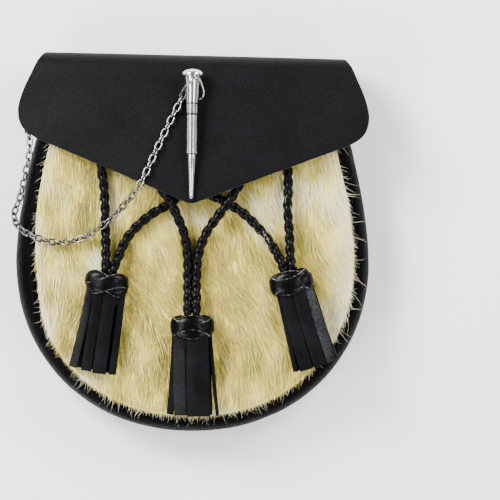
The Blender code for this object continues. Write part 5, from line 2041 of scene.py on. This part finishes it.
# ---- hangers ---------------------------------------------------------------------------------------
@dataclass
class Hanger:
    """A leather loop on the gusset that holds a D ring for the strap."""

    finishes: Finishes
    side: str
    y: float = 85.0
    z: float = 10.5
    tab_width: float = 9.0
    tail: float = 4.6
    half_thickness: float = 1.7
    loop: float = 2.9
    bore: float = 1.35
    wire: float = 1.8
    bar: float = 15.0
    depth: float = 8.8
    corner: float = 1.8

    def frame(self) -> Matrix:
        """A matrix whose X runs out of the gusset and Y along it."""
        low, x, high = (OUTLINE.half_width_at(self.y + step) for step in (-0.5, 0.0, 0.5))
        frame = Matrix.Translation((x, self.y, self.z)) @ Matrix.Rotation(atan2(low - high, 1.0), 4, "Z")
        return Matrix.Scale(-1, 4, (1, 0, 0)) @ frame if self.side == "left" else frame

    def build_tab(self) -> None:
        """A strap folded round the ring's bar and sewn to itself."""
        neck = asin(self.half_thickness / self.loop)
        turns = np.linspace(pi - neck, neck - pi, 40)
        outer = [(self.tail + self.loop * cos(a), self.loop * sin(a)) for a in turns]
        outer += [(x, -self.half_thickness) for x in np.linspace(outer[-1][0], GAP, 6)[1:]]
        outer += [(x, self.half_thickness) for x in np.linspace(GAP, outer[0][0], 6)[:-1]]
        hole = [(self.tail + self.bore * cos(a), self.bore * sin(a)) for a in np.arange(24) * -2 * pi / 24]
        bm = bmesh.new()
        rims = []
        for ring in (outer, hole):
            verts = [bm.verts.new((x, -self.tab_width / 2, z)) for x, z in ring]
            rims += [bm.edges.new((a, b)) for a, b in zip(verts, verts[1:] + verts[:1])]
        bmesh.ops.triangle_fill(bm, use_beauty=True, use_dissolve=False, edges=rims)
        grown = bmesh.ops.extrude_face_region(bm, geom=bm.faces[:])
        moved = [e for e in grown["geom"] if isinstance(e, bmesh.types.BMVert)]
        bmesh.ops.translate(bm, verts=moved, vec=(0.0, self.tab_width, 0.0))
        bm.transform(Matrix.Scale(MM, 4) @ self.frame())
        mesh = bpy.data.meshes.new("hanger_tab_" + self.side)
        bm.to_mesh(mesh)
        bm.free()
        mesh.materials.append(self.finishes.smooth)
        tab = rounded(finish_shape(piece_of(mesh.name, mesh)), 0.25, 60.0)
        settle(finish_shape(tab), "smooth_leather", "tab_" + self.side)

    def build_ring(self) -> None:
        """A D of round wire."""
        half = self.bar / 2
        bar = [(self.tail, y) for y in np.linspace(-half + self.corner, half - self.corner, 8)]
        bend = [(self.tail + self.corner * (1 + cos(a)), half - self.corner * (1 - sin(a)))
                for a in np.radians(np.linspace(180.0, 90.0, 7))[1:]]
        bow = [(self.tail + self.corner + (self.depth - self.corner) * cos(a), half * sin(a))
               for a in np.linspace(pi / 2, -pi / 2, 34)[1:-1]]
        path = [*bar, *bend, *bow, *((x, -y) for x, y in reversed(bend))]
        line = np.array(placed(self.frame(), [(x, y, 0.0) for x, y in path]))
        up = np.tile((0.0, 0.0, 1.0), (len(line), 1))
        ring = bent_wire("hanger_ring_" + self.side, line, np.cross(around(line), up), up, self.wire, 14,
                         self.finishes.nickel)
        settle(ring, "nickel_wire", "ring_" + self.side)

    def build(self) -> None:
        """Makes the tab and its ring."""
        self.build_tab()
        self.build_ring()


# ---- stitches --------------------------------------------------------------------------------------
@dataclass
class Stitching:
    """A row of waxed thread that sews the back panel to the gusset."""

    finishes: Finishes
    pitch: float = 4.2
    length: float = 3.1
    thread: float = 0.7
    top_y: float = 92.0
    inset: float = 7.6
    height: float = 0.12            # of the thread's middle above the floor

    def stitches(self) -> NodeShape:
        """The tree that sets one stitch at every point."""
        shape = NodeShape("set_stitches", "Stitch length", "Thread")
        length, thread = shape.size["Stitch length"], shape.size["Thread"]
        ball = shape.add("GeometryNodeMeshUVSphere", {"Segments": 8, "Rings": 6, "Radius": 0.5})
        stretch = shape.add("ShaderNodeCombineXYZ", {0: length, 1: thread, 2: thread})
        return shape.end_at_points(shape.add("GeometryNodeTransform", {"Geometry": ball, "Scale": stretch}))

    def build(self) -> None:
        """Sews the back's sides and bottom."""
        points, normals = OUTLINE.frames(self.top_y, 300)
        path = resample(points - normals * self.inset, self.pitch)
        middle, run = (path[1:] + path[:-1]) / 2, path[1:] - path[:-1]
        flat = np.zeros(len(run))
        places = mesh_from("stitch_places", np.column_stack([middle, flat + self.height]),
                           turn=np.column_stack([flat, flat, np.arctan2(run[:, 1], run[:, 0])]))
        settle(self.stitches().run("back_stitches", places, self.finishes.thread, Thread=self.thread * MM,
                                   Stitch_length=self.length * MM), "smooth_leather")


def main() -> None:
    """Builds the studio and the pouch in order, and reports each piece."""
    logging.basicConfig(level=logging.INFO, format="%(message)s")
    studio = Studio()
    studio.set_camera()
    finishes = Finishes()
    BraidedCords(finishes).build()
    studio.build()
    LeatherBody(finishes).build()
    flap = Flap(finishes)
    flap.build()
    FurFront(finishes, flap).build()
    Pin(finishes).build()
    PinRing(finishes).build()
    Chain(finishes).build()
    for place in TASSELS:
        knot = Knot(finishes, place)
        knot.build()
        Tassel(finishes, knot).build()
    for side in ("left", "right"):
        Hanger(finishes, side).build()
    Stitching(finishes).build()
    with open(SIZE_FILE, "w") as file:
        json.dump({"cad": [list(corner) for corner in CAD_BOX],
                   "visual": [list(corner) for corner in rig.bounds()]}, file)


if __name__ == "__main__":
    main()
